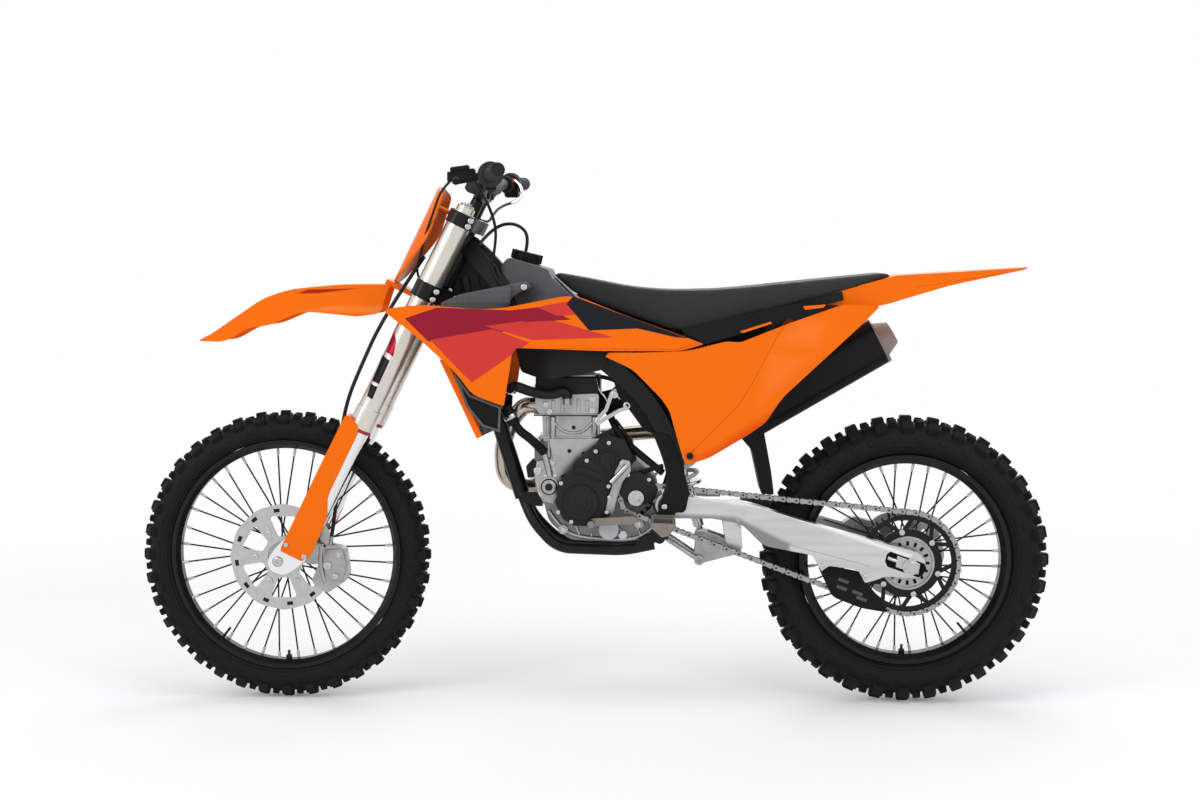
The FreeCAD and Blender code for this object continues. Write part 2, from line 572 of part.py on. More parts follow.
def make_rear_axle():
    axle = body("rear_axle", REAR_AXLE)
    half = s.arm_side + s.axle_nut_length
    nut = s.arm_side
    hub = s.rear_hub_width / 2 + s.seat_gap
    arm = s.arm_side - s.arm_wall
    points = [(s.axle_bore_radius, -half), (s.collar_radius, -half), (s.collar_radius, -nut),
              (s.rear_axle_radius, -nut), (s.rear_axle_radius, -arm), (s.collar_radius, -arm),
              (s.collar_radius, -hub), (s.rear_axle_radius, -hub), (s.rear_axle_radius, hub),
              (s.collar_radius, hub), (s.collar_radius, arm), (s.rear_axle_radius, arm),
              (s.rear_axle_radius, nut), (s.collar_radius, nut), (s.collar_radius, half),
              (s.axle_bore_radius, half)]
    revolve(axle, "RearAxleShaft", rounded([(Vector(across, up, 0), 0) for across, up in points]))

def make_fork():
    leg = Vector(-s.clamp_offset, -s.fork_spacing / 2, 0)
    base = leg + UPWARD * s.tube_low
    foot = Part.makeCylinder(s.tube_foot_radius, s.tube_foot_length, base)
    shaft = Part.makeCylinder(s.tube_radius, s.upper_clamp_low - s.tube_low, base)
    neck = Part.makeCylinder(s.tube_top_radius, s.tube_high - s.tube_low, base)
    cap = Part.makeCylinder(s.cap_radius, s.cap_length, leg + UPWARD * s.tube_high)
    tubes = together([foot, shaft, neck, cap])
    upper = Part.makeCompound(both_sides(tubes))
    upper.Placement = STEER
    feature("fork_tubes", upper)
    slider = Part.makeCylinder(s.slider_radius, s.tube_low - s.slider_low, leg + UPWARD * s.slider_low)
    axle = Vector(-s.clamp_offset - s.axle_lead, -s.fork_spacing / 2 - s.lug_wall / 2, 0)
    lug_shares = [(0, -0.10, 1), (0.06, 0.32, 0.8), (0.36, 0.94, 0.3), (0.98, 1.0, 0.3), (1.0, 0.30, 0.8),
                  (0.62, -0.26, 0.9), (0.2, -0.30, 1)]
    lug_points = [(Vector(-s.lug_front + s.lug_front * point.x, axle.y, s.lug_rise * point.y), roundness)
                  for point, roundness in corners(lug_shares, 0, 0, 1, 1)]
    lug = prism(lug_points, Vector(0, s.lug_wall, 0))
    bore = Part.makeCylinder(s.front_axle_radius, s.lug_wall + 2 * s.overrun, axle - ACROSS * s.overrun, ACROSS)
    lower = Part.makeCompound(both_sides(together([slider, lug]).cut(bore)))
    lower.Placement = STEER
    feature("fork_sliders", lower)

def make_fork_guards():
    guard_shares = [(0.0, 0.03), (0.04, 0.0, 0.4), (0.82, 0.0, 0.4), (1.0, 0.06, 0.4), (0.94, 0.33, 0.5),
                    (0.66, 0.46, 0.6), (0.66, 0.9, 0.2), (0.6, 0.96), (0.03, 1.0, 0.4), (0.0, 0.6)]
    near = -s.fork_spacing / 2 - s.tube_foot_radius
    points = [(Vector(-s.guard_front + s.guard_depth * point.x, near, s.guard_low + s.guard_rise * point.y),
               roundness) for point, roundness in corners(guard_shares, 0, 0, 1, 1)]
    block = prism(points, Vector(0, s.guard_width, 0))
    leg = Vector(-s.clamp_offset, -s.fork_spacing / 2, 0)
    tube_room = Part.makeCylinder(s.tube_foot_radius + s.seat_gap, s.guard_rise, leg + UPWARD * s.tube_low)
    room_height = s.tube_low - s.guard_low
    slider_room = Part.makeCylinder(s.slider_radius + s.skin, room_height, leg + UPWARD * s.guard_low)
    behind = Part.makeBox(s.guard_front, s.guard_width, s.guard_rise, leg + Vector(0, -s.skin, s.guard_low))
    lug_room = Part.makeBox(s.guard_front + 2 * s.lug_front, s.lug_wall + 2 * s.seat_gap, s.lug_rise + 2 * s.seat_gap,
                            Vector(-s.guard_front - s.lug_front, near + s.tube_foot_radius - s.lug_wall / 2
                                   - s.seat_gap, 0))
    shell = block.cut([tube_room, slider_room, behind, lug_room])
    solids = sorted(shell.Solids, key=lambda solid: solid.Volume)
    pair = Part.makeCompound(both_sides(solids[-1]))
    pair.Placement = STEER
    feature("fork_guards", pair)

def make_clamps():
    clamps = body("triple_clamps", STEER)
    leg = s.fork_spacing / 2
    reach = s.tube_radius + 2 * s.skin
    for name, radius, low, wall in (("Lower", s.tube_radius, "lower_clamp_low", "clamp_wall"),
                                    ("Upper", s.tube_top_radius, "upper_clamp_low", "upper_clamp_wall")):
        half = [(-s.clamp_offset - reach * 0.8, leg - reach, 0.5), (-s.clamp_offset - reach, leg, 0.9),
                (-s.clamp_offset - reach * 0.6, leg + reach, 0.9), (-s.clamp_offset + reach * 0.6, leg + reach, 0.9),
                (-s.clamp_offset + reach, leg, 0.6), (s.clamp_offset, leg / 2, 0.6), (s.clamp_offset + reach / 3, 0.5, 0)]
        plan = rounded(mirrored_pairs(half))
        legs = [circle(-s.clamp_offset, side * leg, radius + s.running_gap) for side in (-1, 1)]
        pad(clamps, name + "Clamp", plan + legs, "Sizes." + wall, "XY_Plane", getattr(s, low))
    pad(clamps, "Stem", [circle(0, 0, s.stem_radius)], "Sizes.upper_clamp_low - Sizes.lower_clamp_low",
        "XY_Plane", s.lower_clamp_low)
    risers = [circle(s.riser_radius / 3 - s.riser_radius, side * s.riser_spacing / 2, s.riser_radius)
              for side in (-1, 1)]
    bar = STEER.inverse().multVec(at(s.bar_station, s.bar_height))
    top = s.upper_clamp_low + s.upper_clamp_wall
    item = clamps.newObject("PartDesign::Pad", "Risers")
    item.Profile = sketch(clamps, "RisersOutline", risers, "XY_Plane", top)
    item.Length = bar.z - top + s.bar_radius + s.skin
    doc.recompute()
    pocket(clamps, "BarSeat", [circle(bar.x, bar.z, s.bar_radius + s.running_gap)])

def bar_points():
    middle = at(s.bar_station, s.bar_height)
    flat = Vector(0, s.bar_flat, 0)
    knee = Vector(s.bar_knee_back, s.bar_knee_side, s.bar_knee_rise)
    end = Vector(s.bar_end_back, s.bar_end_side, s.bar_end_rise)

    def left(vector):
        return Vector(vector.x, -vector.y, vector.z)
    return [(middle + left(end), 0), (middle + left(knee), 0.8), (middle + left(flat), 0.35),
            (middle + flat, 0.35), (middle + knee, 0.8), (middle + end, 0)]

def make_handlebar():
    points = bar_points()
    feature("handlebar", tube(points, s.bar_radius))
    end, knee = points[0][0], points[1][0]
    inward = (knee - end).normalize()
    room = rod(end - inward * s.overrun, end + inward * (s.grip_length + s.overrun), s.bar_radius + s.running_gap)
    grip = rod(end - inward * s.skin, end + inward * s.grip_length, s.grip_radius)
    flange_start = end + inward * (s.grip_length - s.grip_flange_wall)
    flange = rod(flange_start, flange_start + inward * s.grip_flange_wall, s.grip_flange_radius)
    feature("grips", Part.makeCompound(both_sides(together([grip, flange]).cut(room))))
    perch = end + inward * (s.bar_end_side - s.perch_side)
    clamp = rod(perch, perch + inward * s.perch_radius * 2, s.perch_radius)
    bore = rod(perch - inward, perch + inward * s.perch_radius * 3, s.bar_radius + s.running_gap)
    pivot = perch + Vector(-s.lever_reach, 0, -s.lever_drop / 2)
    arm = rod(perch + inward * s.perch_radius + Vector(-s.bar_radius - s.skin, 0, 0),
              pivot + inward * s.perch_radius, s.lever_wall)
    tip = end + inward * s.perch_radius + Vector(-s.lever_reach * 1.2, 0, -s.lever_drop)
    blade = rod(pivot + inward * s.perch_radius, tip, s.lever_wall * 0.7)
    ball = Part.makeSphere(s.lever_wall, tip)
    lever = together([clamp, arm, blade, ball]).cut(bore)
    feature("hand_levers", Part.makeCompound(both_sides(lever)))
    pad_shares = [(0, 0.35, 0.6), (0.16, 0.95, 0.8), (0.55, 1.0, 0.8), (1.0, 0.72, 0.8), (1.0, 0.12, 0.8),
                  (0.5, 0.0, 0.8), (0.12, 0.08, 0.8)]
    middle = at(s.bar_station, s.bar_height)
    block = side_prism(pad_shares, s.bar_station - s.pad_length / 2, s.bar_height + s.bar_radius / 3,
                       s.pad_length, s.pad_height, -s.pad_width / 2, s.pad_width / 2)
    room = tube(bar_points(), s.bar_radius + s.running_gap)
    clamp_room = [rod(steered(s.riser_radius / 3 - s.riser_radius, side * s.riser_spacing / 2, s.tube_high),
                      steered(s.riser_radius / 3 - s.riser_radius, side * s.riser_spacing / 2,
                              s.tube_high + s.pad_length), s.riser_radius + s.seat_gap) for side in (-1, 1)]
    feature("bar_pad", block.cut([room] + clamp_room))
    return middle

def arched_shell(side_shares, x, z, length, height, half_plan, wall, drop):
    """a shell with a side view and a plan view, open beneath"""
    outer = side_prism(side_shares, x, z, length, height, -length, length).common(
        plan_prism(half_plan, z - height, z + 2 * height))
    inner_plan = [(along, max(width - wall, wall), roundness) for along, width, roundness in half_plan]
    inner = side_prism(side_shares, x, z - drop, length, height, -length, length).common(
        plan_prism(inner_plan, z - 2 * height, z + 2 * height))
    return outer.cut(inner)

def make_front_fender():
    side_shares = [(0.0, 0.0, 0.2), (0.09, 0.14, 0.6), (0.36, 0.76, 0.8), (0.5, 0.92, 0.8), (0.74, 1.0, 0.8),
                   (1.0, 1.0), (0.95, 0.5, 0.4), (0.84, 0.44, 0.5), (0.56, 0.54, 0.8), (0.4, 0.3, 0.6),
                   (0.28, 0.24, 0.6), (0.16, 0.0, 0.6)]
    width_shares = [(0.0, 0.5, 0.9), (0.12, 0.84, 0.8), (0.45, 1.0, 0.8), (0.8, 0.9, 0.6), (1.0, 0.7, 0)]
    half = [(s.fender_x + s.fender_length * share[0], s.fender_width / 2 * share[1], share[2])
            for share in width_shares]
    shell = arched_shell(side_shares, s.fender_x, s.fender_z, s.fender_length, s.fender_height, half, s.skin,
                         s.skin * 2)
    tongue = Part.makeBox(s.tongue_front - s.tongue_back, 2 * s.tongue_side, s.tongue_wall,
                          Vector(-s.tongue_front, -s.tongue_side, s.lower_clamp_low - s.seat_gap - s.tongue_wall))
    tongue.Placement = STEER.multiply(tongue.Placement)
    feature("front_fender", together([shell, tongue]))

def make_number_plate():
    half = s.plate_width / 2
    front_side = -s.plate_front + s.plate_depth
    inner_front = -s.plate_front + s.skin * 2
    face = [(Vector(front_side, -half, s.plate_low), 0.3), (Vector(-s.plate_front, -half * 0.6, s.plate_low), 0.9),
            (Vector(-s.plate_front, half * 0.6, s.plate_low), 0.9), (Vector(front_side, half, s.plate_low), 0.3),
            (Vector(front_side + s.skin, half, s.plate_low), 0), (Vector(inner_front, half * 0.55, s.plate_low), 0.9),
            (Vector(inner_front, -half * 0.55, s.plate_low), 0.9),
            (Vector(front_side + s.skin, -half, s.plate_low), 0)]
    shell = prism(face, UPWARD * s.plate_rise)
    front_shares = [(0.22, 0.0, 0.6), (0.78, 0.0, 0.6), (1.0, 0.55, 0.6), (0.9, 0.96, 0.6), (0.7, 1.0, 0.4),
                    (0.3, 1.0, 0.4), (0.1, 0.96, 0.6), (0.0, 0.55, 0.6)]
    front = [(Vector(-2 * s.plate_front, -half + s.plate_width * point.x, s.plate_low + s.plate_rise * point.y),
              roundness) for point, roundness in corners(front_shares, 0, 0, 1, 1)]
    shell = shell.common(prism(front, Vector(2 * s.plate_front, 0, 0)))
    height = s.upper_clamp_low + s.upper_clamp_wall / 2
    clamp_front = -s.clamp_offset - (s.tube_radius + 2 * s.skin) * 0.8
    pegs = [rod(Vector(inner_front - s.skin, side * s.plate_peg_side, height),
                Vector(clamp_front - s.seat_gap, side * s.plate_peg_side, height), s.plate_peg_radius)
            for side in (-1, 1)]
    shape = together([shell] + pegs)
    shape.Placement = STEER
    feature("number_plate", shape)

# Frame
BEAM_SHARES = [(0.31, 0.787, 0.61, 0.8), (0.655, 0.616, 1, 0.8), (0.841, 0.497, 1, 0.9), (0.941, 0.368, 1, 0.9),
               (0.979, 0.25, 1, 0.9)]
DOWN_TUBE_SHARES = [(0.155, 0.592), (0.3345, 0.16)]
CRADLE_SHARES = [(0.331, 0.171, 0.11, 0), (0.383, 0.087, 0.7, 0.8), (0.483, 0.008, 1, 0.8), (0.759, 0.001, 1, 0.8),
                 (0.883, 0.021, 1, 0)]

def beam_path(side):
    """the main beam's centre line from the steering head to the cross tube under the swingarm pivot"""
    head = (s.head_tube_low + s.head_tube_high) / 2 + s.beam_height
    bends = [(on_frame(along, up, side * s.beam_side * out), roundness) for along, up, out, roundness in BEAM_SHARES]
    return ([(steered(s.head_tube_radius / 2, side * s.beam_head_side, head), 0)] + bends
            + [(at(s.pivot_station, s.pivot_height, side * s.beam_side), 0.6),
               (at(s.pivot_station - s.cross_lead, s.pivot_height - s.cross_drop, side * s.beam_side), 0)])

def beam_rooms(gap):
    return [flat_tube(beam_path(side), s.beam_width + 2 * gap, s.beam_height + 2 * gap) for side in (-1, 1)]

def down_tube(radius):
    top = steered(s.head_tube_radius + s.down_tube_radius / 2, 0, s.head_tube_low + 2 * s.down_tube_radius)
    middle, low = [on_frame(along, up, 0) for along, up in DOWN_TUBE_SHARES]
    return tube([(top, 0), (middle, 0.5), (low, 0)], radius)

def make_frame():
    head = rod(steered(0, 0, s.head_tube_low), steered(0, 0, s.head_tube_high), s.head_tube_radius)
    bore = rod(steered(0, 0, s.head_tube_low - s.overrun), steered(0, 0, s.head_tube_high + s.overrun),
               s.stem_radius + s.running_gap)
    inner = s.beam_side - s.beam_width / 2
    outer = s.beam_side + s.beam_width / 2
    low_cross = across_rod(s.pivot_station - s.cross_lead, s.pivot_height - s.cross_drop, -outer, outer,
                           s.cradle_radius)
    shock_cross = Part.makeCylinder(s.cradle_radius, 2 * s.beam_side, on_frame(0.831, 0.503, -s.beam_side), ACROSS)
    eye = at(s.pivot_station - s.shock_top_lead, s.pivot_height + s.shock_top_rise)
    lugs = []
    for side in (-1, 1):
        near = Vector(0, side * (s.shock_eye_side + s.seat_gap), 0)
        wall = Vector(0, side * s.guard_wall, 0)
        strap = [(on_frame(0.805, 0.525, 0) + near, 0), (on_frame(0.86, 0.535, 0) + near, 0),
                 (eye + near + Vector(s.cradle_radius, 0, 0), 0.6), (eye + near - UPWARD * s.cradle_radius, 0.6),
                 (on_frame(0.82, 0.48, 0) + near, 0)]
        lugs.append(prism(strap, wall))
    bosses = [across_rod(s.pivot_station, s.pivot_height, side * inner, side * outer, s.pivot_boss_radius)
              for side in (-1, 1)]
    pivot = across_rod(s.pivot_station, s.pivot_height, -s.arm_side, s.arm_side, s.rear_axle_radius)
    beams = [flat_tube(beam_path(side), s.beam_width, s.beam_height) for side in (-1, 1)]
    main = together([head] + beams + bosses + [low_cross, shock_cross] + lugs).cut([bore, pivot])
    feature("frame_main", main)
    arms = []
    for side in (-1, 1):
        route = [(on_frame(along, up, side * s.cradle_side * out), roundness)
                 for along, up, out, roundness in CRADLE_SHARES]
        arms.append(tube(route, s.cradle_radius))
    head_room = rod(steered(0, 0, s.head_tube_low - s.overrun), steered(0, 0, s.head_tube_high),
                    s.head_tube_radius)
    mount = prism([(on_frame(0.33, 0.135, -s.mount_side), 0), (on_frame(0.42, 0.135, -s.mount_side), 0),
                   (on_frame(0.42, 0.18, -s.mount_side), 0), (on_frame(0.33, 0.18, -s.mount_side), 0)],
                  Vector(0, 2 * s.mount_side, 0))
    case_room = case_solid()
    case_room.translate(Vector(-s.seat_gap, 0, 0))
    feature("frame_cradle", together([down_tube(s.down_tube_radius)] + arms + [mount]).cut([head_room, case_room]))

def make_frame_guards():
    guard_shares = [(0.30, 1.0, 0.3), (0.62, 0.97, 0.3), (0.86, 0.62, 0.6), (1.0, 0.25, 0.5), (0.92, 0.0, 0.4),
                    (0.50, 0.0, 0.4), (0.46, 0.1, 0.5), (0.62, 0.3, 0.6), (0.5, 0.66, 0.6)]
    inner = s.beam_side + s.beam_width / 2 + s.seat_gap
    shape = side_prism(guard_shares, s.guard_plate_x, s.guard_plate_z, s.guard_plate_length,
                       s.guard_plate_height, -inner - s.guard_wall, -inner)
    feature("frame_guards", pair_of(shape))

SEAT_BOTTOM_SHARES = [(0.41, 0.03), (0.71, 0.485)]

def under_seat(along, side):
    """a seat rail's centre, just below the seat's straight bottom"""
    (first, first_up), (last, last_up) = SEAT_BOTTOM_SHARES
    run = on_seat(last, last_up) - on_seat(first, first_up)
    drop = (s.rail_size / 2 + s.seat_gap) * run.Length / run.x
    up = first_up + (last_up - first_up) * (along - first) / (last - first)
    return on_seat(along, up, side) - UPWARD * drop

def seat_rail(side, size):
    path = [(on_frame(0.72, 0.58, side), 0), (under_seat(0.41, side), 0.5), (under_seat(0.85, side), 0)]
    return flat_tube(path, size, size)

def lower_stay(side):
    return [(on_frame(0.95, 0.375, side), 0), (under_seat(0.70, side), 0)]

def make_subframe():
    rails = []
    for side in (-s.rail_side, s.rail_side):
        rails.append(seat_rail(side, s.rail_size))
        rails.append(flat_tube(lower_stay(side), s.rail_size, s.rail_size))
        stay = lower_stay(side)
        root = stay[0][0] + (stay[1][0] - stay[0][0]) * 0.46
        out = 1 if side > 0 else -1
        reach = out * (s.panel_side - s.panel_wall - s.seat_gap) - side
        rails.append(rod(root, root + Vector(0, reach, 0), s.rail_peg_radius))
    bridges = [rod(under_seat(along, -s.rail_side), under_seat(along, s.rail_side), s.rail_size / 3)
               for along in (0.412, 0.70)]
    top = under_seat(0.745, 0)
    hanger_side = s.silencer_side - s.silencer_width / 2 - s.seat_gap
    hanger = Part.makeBox(s.hanger_width, s.hanger_wall, s.silencer_height * 1.55,
                          Vector(top.x - s.hanger_width / 2, hanger_side - s.hanger_wall,
                                 top.z - s.silencer_height * 1.55))
    shape = together(rails + bridges + [hanger]).cut(beam_rooms(s.seat_gap))
    feature("subframe", largest(shape))

# Engine and exhaust
CASE_SHARES = [(0.02, 0.78), (0.04, 0.6, 0.4), (0.08, 0.44, 0.4), (0.13, 0.2, 0.5), (0.29, 0.02, 0.5),
               (0.74, 0.0, 0.5), (0.92, 0.12, 0.6), (0.98, 0.32, 0.6), (0.97, 0.6, 0.6), (0.77, 0.84, 0.4),
               (0.56, 0.968), (0.02, 0.968)]

def case_solid():
    return side_prism(CASE_SHARES, s.case_x, s.case_z, s.case_length, s.case_height, -s.case_width / 2,
                      s.case_width / 2)

def cover(owner, name, curves, near, length, right=False):
    """a flat casting on one side of the engine, from a near side outwards"""
    item = owner.newObject("PartDesign::Pad", name)
    item.Profile = sketch(owner, name + "Outline", curves, offset=-near if right else near)
    item.setExpression("Length", length)
    item.Reversed = right
    doc.recompute()

def make_engine():
    case = body("engine_crankcase")
    pad(case, "CaseBlock", rounded(corners(CASE_SHARES, s.case_x, s.case_z, s.case_length, s.case_height)),
        "Sizes.case_width", middle=True)
    pocket(case, "PivotRoom", [circle(s.pivot_station, s.pivot_height, s.arm_pivot_radius + s.free_gap)])
    cover(case, "DriveShaft", [circle(s.drive_station, s.drive_height, s.drive_shaft_radius)],
          s.case_width / 2 - s.overrun, "Sizes.chain_side + Sizes.chain_half_width - Sizes.case_width / 2 + Sizes.overrun")
    barrel_shares = [(0.14, 0.0), (0.96, 0.0), (0.96, 0.42), (0.12, 0.42)]
    head_shares = [(0.10, 0.40, 0.2), (0.98, 0.42, 0.2), (0.99, 0.72, 0.3), (0.02, 0.68, 0.3), (0.02, 0.50, 0.3)]
    cam_shares = [(0.02, 0.66, 0.2), (0.99, 0.70, 0.2), (1.0, 0.92, 0.5), (0.9, 1.0, 0.5), (0.08, 0.94, 0.5),
                  (0.0, 0.84, 0.5)]
    cylinder = body("engine_cylinder")
    for name, shares, width in (("Barrel", barrel_shares, "barrel_width"), ("Head", head_shares, "cylinder_width"),
                                ("CamCover", cam_shares, "cam_cover_width")):
        pad(cylinder, name, rounded(corners(shares, s.cylinder_x, s.cylinder_z, s.cylinder_length,
                                            s.cylinder_height)), "Sizes." + width, middle=True)
    neck_x, neck_z = neck_place()
    cover(cylinder, "NeckRun", [circle(neck_x, neck_z, s.neck_radius)], s.cylinder_width / 2 - s.overrun,
          "Sizes.neck_side - Sizes.cylinder_width / 2 + Sizes.overrun")
    pad(cylinder, "NeckRise", [circle(neck_x, -s.neck_side, s.neck_radius)], "1.5 * Sizes.neck_radius",
        role="XY_Plane", offset=neck_z)
    covers = body("engine_covers")
    ignition_shares = [(0.04, 0.2, 0.6), (0.3, 0.0, 0.7), (0.8, 0.06, 0.7), (1.0, 0.36, 0.7), (0.94, 0.84, 0.5),
                       (0.74, 1.0, 0.5), (0.3, 0.86, 0.7), (0.0, 0.6, 0.7)]
    clutch_shares = [(0.0, 0.4, 0.8), (0.16, 0.06, 0.8), (0.6, 0.0, 0.8), (0.96, 0.2, 0.8), (1.0, 0.7, 0.8),
                     (0.72, 1.0, 0.8), (0.2, 0.92, 0.8)]
    half = s.case_width / 2
    cover(covers, "IgnitionCover", rounded(corners(ignition_shares, s.ignition_x, s.ignition_z, s.ignition_length,
                                                   s.ignition_height)),
          half, "Sizes.left_cover_side - Sizes.case_width / 2")
    lids = [("IgnitionLid", 0.48, 0.35, s.ignition_lid_radius, s.left_cover_side - s.overrun,
             "Sizes.left_lid_side - Sizes.left_cover_side + Sizes.overrun"),
            ("StarterLid", 1.0, 0.99, s.starter_lid_radius, half,
             "Sizes.left_cover_side - Sizes.case_width / 2"),
            ("PumpLid", 1.02, -0.08, s.pump_lid_radius, half, "Sizes.pump_lid_side - Sizes.case_width / 2")]
    for name, along, up, radius, near, length in lids:
        place = (s.ignition_x + s.ignition_length * along, s.ignition_z + s.ignition_height * up)
        cover(covers, name, [circle(place[0], place[1], radius)], near, length)
    cover(covers, "ClutchCover", rounded(corners(clutch_shares, s.clutch_x, s.clutch_z, s.clutch_length,
                                                 s.clutch_height)),
          half, "Sizes.right_cover_side - Sizes.case_width / 2", right=True)
    cover(covers, "ClutchLid", [circle(s.clutch_x + s.clutch_length * 0.55, s.clutch_z + s.clutch_height * 0.52,
                                       s.clutch_lid_radius)], s.right_cover_side - s.overrun,
          "Sizes.right_lid_side - Sizes.right_cover_side + Sizes.overrun", right=True)

def silencer_frame():
    """the silencer's own frame: +X along its axis"""
    slope = math.degrees(math.atan2(s.silencer_climb, s.silencer_run))
    return Placement(at(s.silencer_x, s.silencer_z, s.silencer_side), Rotation(ACROSS, -slope))

def neck_place():
    """where the coolant neck leaves the cylinder head"""
    return s.cylinder_x + s.cylinder_length * 0.51, s.cylinder_z + s.cylinder_height * 0.56

def make_exhaust():
    side = s.down_tube_radius + s.header_radius + s.free_gap
    inlet = silencer_frame().multVec(Vector(-s.end_cap_length - s.seat_gap, 0, 0))
    lead_in = silencer_frame().multVec(Vector(-s.end_cap_length * 2.5, 0, 0))
    port_z = s.cylinder_z + s.cylinder_height * 0.5
    port_x = s.cylinder_x + s.cylinder_length * 0.02 - s.seat_gap
    outer = s.right_lid_side + s.header_radius + s.free_gap / 2
    path = [(at(port_x, port_z, s.header_radius), 0),
            (at(port_x - s.header_radius * 1.5, port_z, s.header_radius), 0.9),
            (on_frame(0.29, 0.408, side * 0.9), 0.9), (on_frame(0.241, 0.316, side), 0.9),
            (on_frame(0.248, 0.197, side * 1.5), 0.9), (on_frame(0.379, 0.171, outer), 0.8),
            (on_frame(0.534, 0.329, outer), 0.8), (at(s.case_x + s.case_length, s.mid_pipe_z, s.silencer_side), 0.8),
            (lead_in, 0.9), (inlet, 0)]
    start = path[0][0]
    flange = rod(start, start - Vector(s.free_gap, 0, 0), s.flange_radius)
    feature("exhaust_header", together([tube(path, s.header_radius), flange]))
    length = math.hypot(s.silencer_run, s.silencer_climb)
    half = s.silencer_height / 2
    section_shares = [(-0.5, -0.3, 0.6), (-0.5, 0.3, 0.6), (-0.3, 0.5, 0.6), (0.3, 0.5, 0.6), (0.5, 0.3, 0.6),
                      (0.5, -0.3, 0.6), (0.3, -0.5, 0.6), (-0.3, -0.5, 0.6)]
    ring = [(Vector(0, s.silencer_width * share[0], s.silencer_height * share[1]), share[2])
            for share in section_shares]
    can = prism(ring, Vector(length, 0, 0))
    ahead = Vector(1, 0, 0)
    cone = Part.makeCone(s.mid_pipe_radius, half * 0.8, s.end_cap_length, Vector(-s.end_cap_length, 0, 0), ahead)
    cap = Part.makeCone(half * 0.8, half * 0.5, s.end_cap_length, Vector(length, 0, 0), ahead)
    outlet = Part.makeCylinder(s.mid_pipe_radius, s.end_cap_length, Vector(length + s.free_gap, 0, 0), ahead)
    shape = together([can, cone, cap]).cut(outlet)
    shape.Placement = silencer_frame()
    feature("silencer", shape)

# Tank, seat and bodywork
def side_by_plan(side_shares, x, z, length, height, widths, width):
    """a solid from its side view and its plan view"""
    half = [(x + length * share[0], width / 2 * share[1], share[2]) for share in widths]
    return side_prism(side_shares, x, z, length, height, -width, width).common(
        plan_prism(half, z - height, z + 2 * height))

SEAT_SHARES = [(0.0, 0.96, 0.4), (0.012, 1.0, 0.6), (0.11, 0.9, 0.8), (0.23, 0.76, 0.8), (0.34, 0.705, 0.9),
               (0.50, 0.72, 0.9), (0.75, 0.87, 0.8), (0.975, 1.0, 0.6), (1.0, 0.96, 0.4), (0.96, 0.88, 0.2),
               (0.71, 0.485, 0.6), (0.41, 0.03, 0.6), (0.36, 0.03, 0.6), (0.14, 0.48, 0.6), (0.06, 0.66, 0.3)]
SEAT_WIDTH_SHARES = [(0.0, 0.42, 0.5), (0.2, 0.62, 0.8), (0.42, 0.92, 0.8), (0.7, 1.0, 0.8), (0.94, 0.86, 0.8),
                     (1.0, 0.6, 0.6)]

def seat_solid():
    return side_by_plan(SEAT_SHARES, s.seat_x, s.seat_z, s.seat_length, s.seat_rise, SEAT_WIDTH_SHARES,
                        s.seat_width)

def make_tank_and_seat():
    seat = seat_solid()
    feature("seat", seat)
    tank_shares = [(0.0, 0.80, 0.3), (0.0, 0.92, 0.5), (0.08, 1.0, 0.7), (0.46, 0.9, 0.4), (0.49, 0.84),
                   (0.70, 0.66), (1.0, 0.5), (1.0, 0.14, 0.3), (0.94, 0.08, 0.3), (0.42, 0.0, 0.4),
                   (0.2, 0.06, 0.3), (0.14, 0.3, 0.4)]
    tank_width_shares = [(0.0, 0.4, 0.5), (0.25, 0.7, 0.8), (0.55, 1.0, 0.8), (1.0, 0.92, 0)]
    tank = side_by_plan(tank_shares, s.tank_x, s.tank_z, s.tank_length, s.tank_height, tank_width_shares,
                        s.tank_width)
    engine_room = Part.makeBox(s.cylinder_length + 2 * s.skin, s.cylinder_width + 2 * s.skin,
                               s.cylinder_height + 2 * s.skin,
                               at(s.cylinder_x - s.skin, s.cylinder_z, -s.cylinder_width / 2 - s.skin))
    seat_room = seat.copy()
    seat_room.translate(Vector(0, 0, -s.seat_gap))
    tilt = Placement(at(s.tank_cap_x, s.tank_cap_z), Rotation(ACROSS, s.tank_cap_tilt))
    cap = Part.makeCylinder(s.tank_cap_radius, s.tank_cap_height)
    cap.Placement = tilt
    cap_room = Part.makeCylinder(s.tank_cap_radius + s.seat_gap, s.tank_cap_height)
    cap_room.Placement = tilt
    feature("fuel_tank", largest(tank.cut(beam_rooms(s.seat_gap) + [engine_room, seat_room, cap_room])))
    feature("fuel_cap", cap)

def ribbon(stations, wall, low, high):
    """a curved wall standing on a plan-view line of (station, side, roundness), thick towards the middle"""
    outer = [(at(x, low, side), roundness) for x, side, roundness in stations]
    inner = [(at(x, low, side + wall), roundness) for x, side, roundness in reversed(stations)]
    return prism(outer + inner, Vector(0, 0, high - low))

SHROUD_SPREAD_SHARES = [(-0.01, 1.0, 0), (0.25, 0.94, 0.9), (0.5, 0.80, 0.9), (0.75, 0.70, 0.9), (1.01, 0.66, 0)]

def shroud_band(inset, wall):
    """a curved band following the shroud, starting inset from its outer face"""
    line = [(s.shroud_x + s.shroud_length * share[0], -s.shroud_side * share[1] + inset, share[2])
            for share in SHROUD_SPREAD_SHARES]
    return ribbon(line, wall, s.shroud_z - s.overrun, s.shroud_z + s.shroud_height + s.overrun)

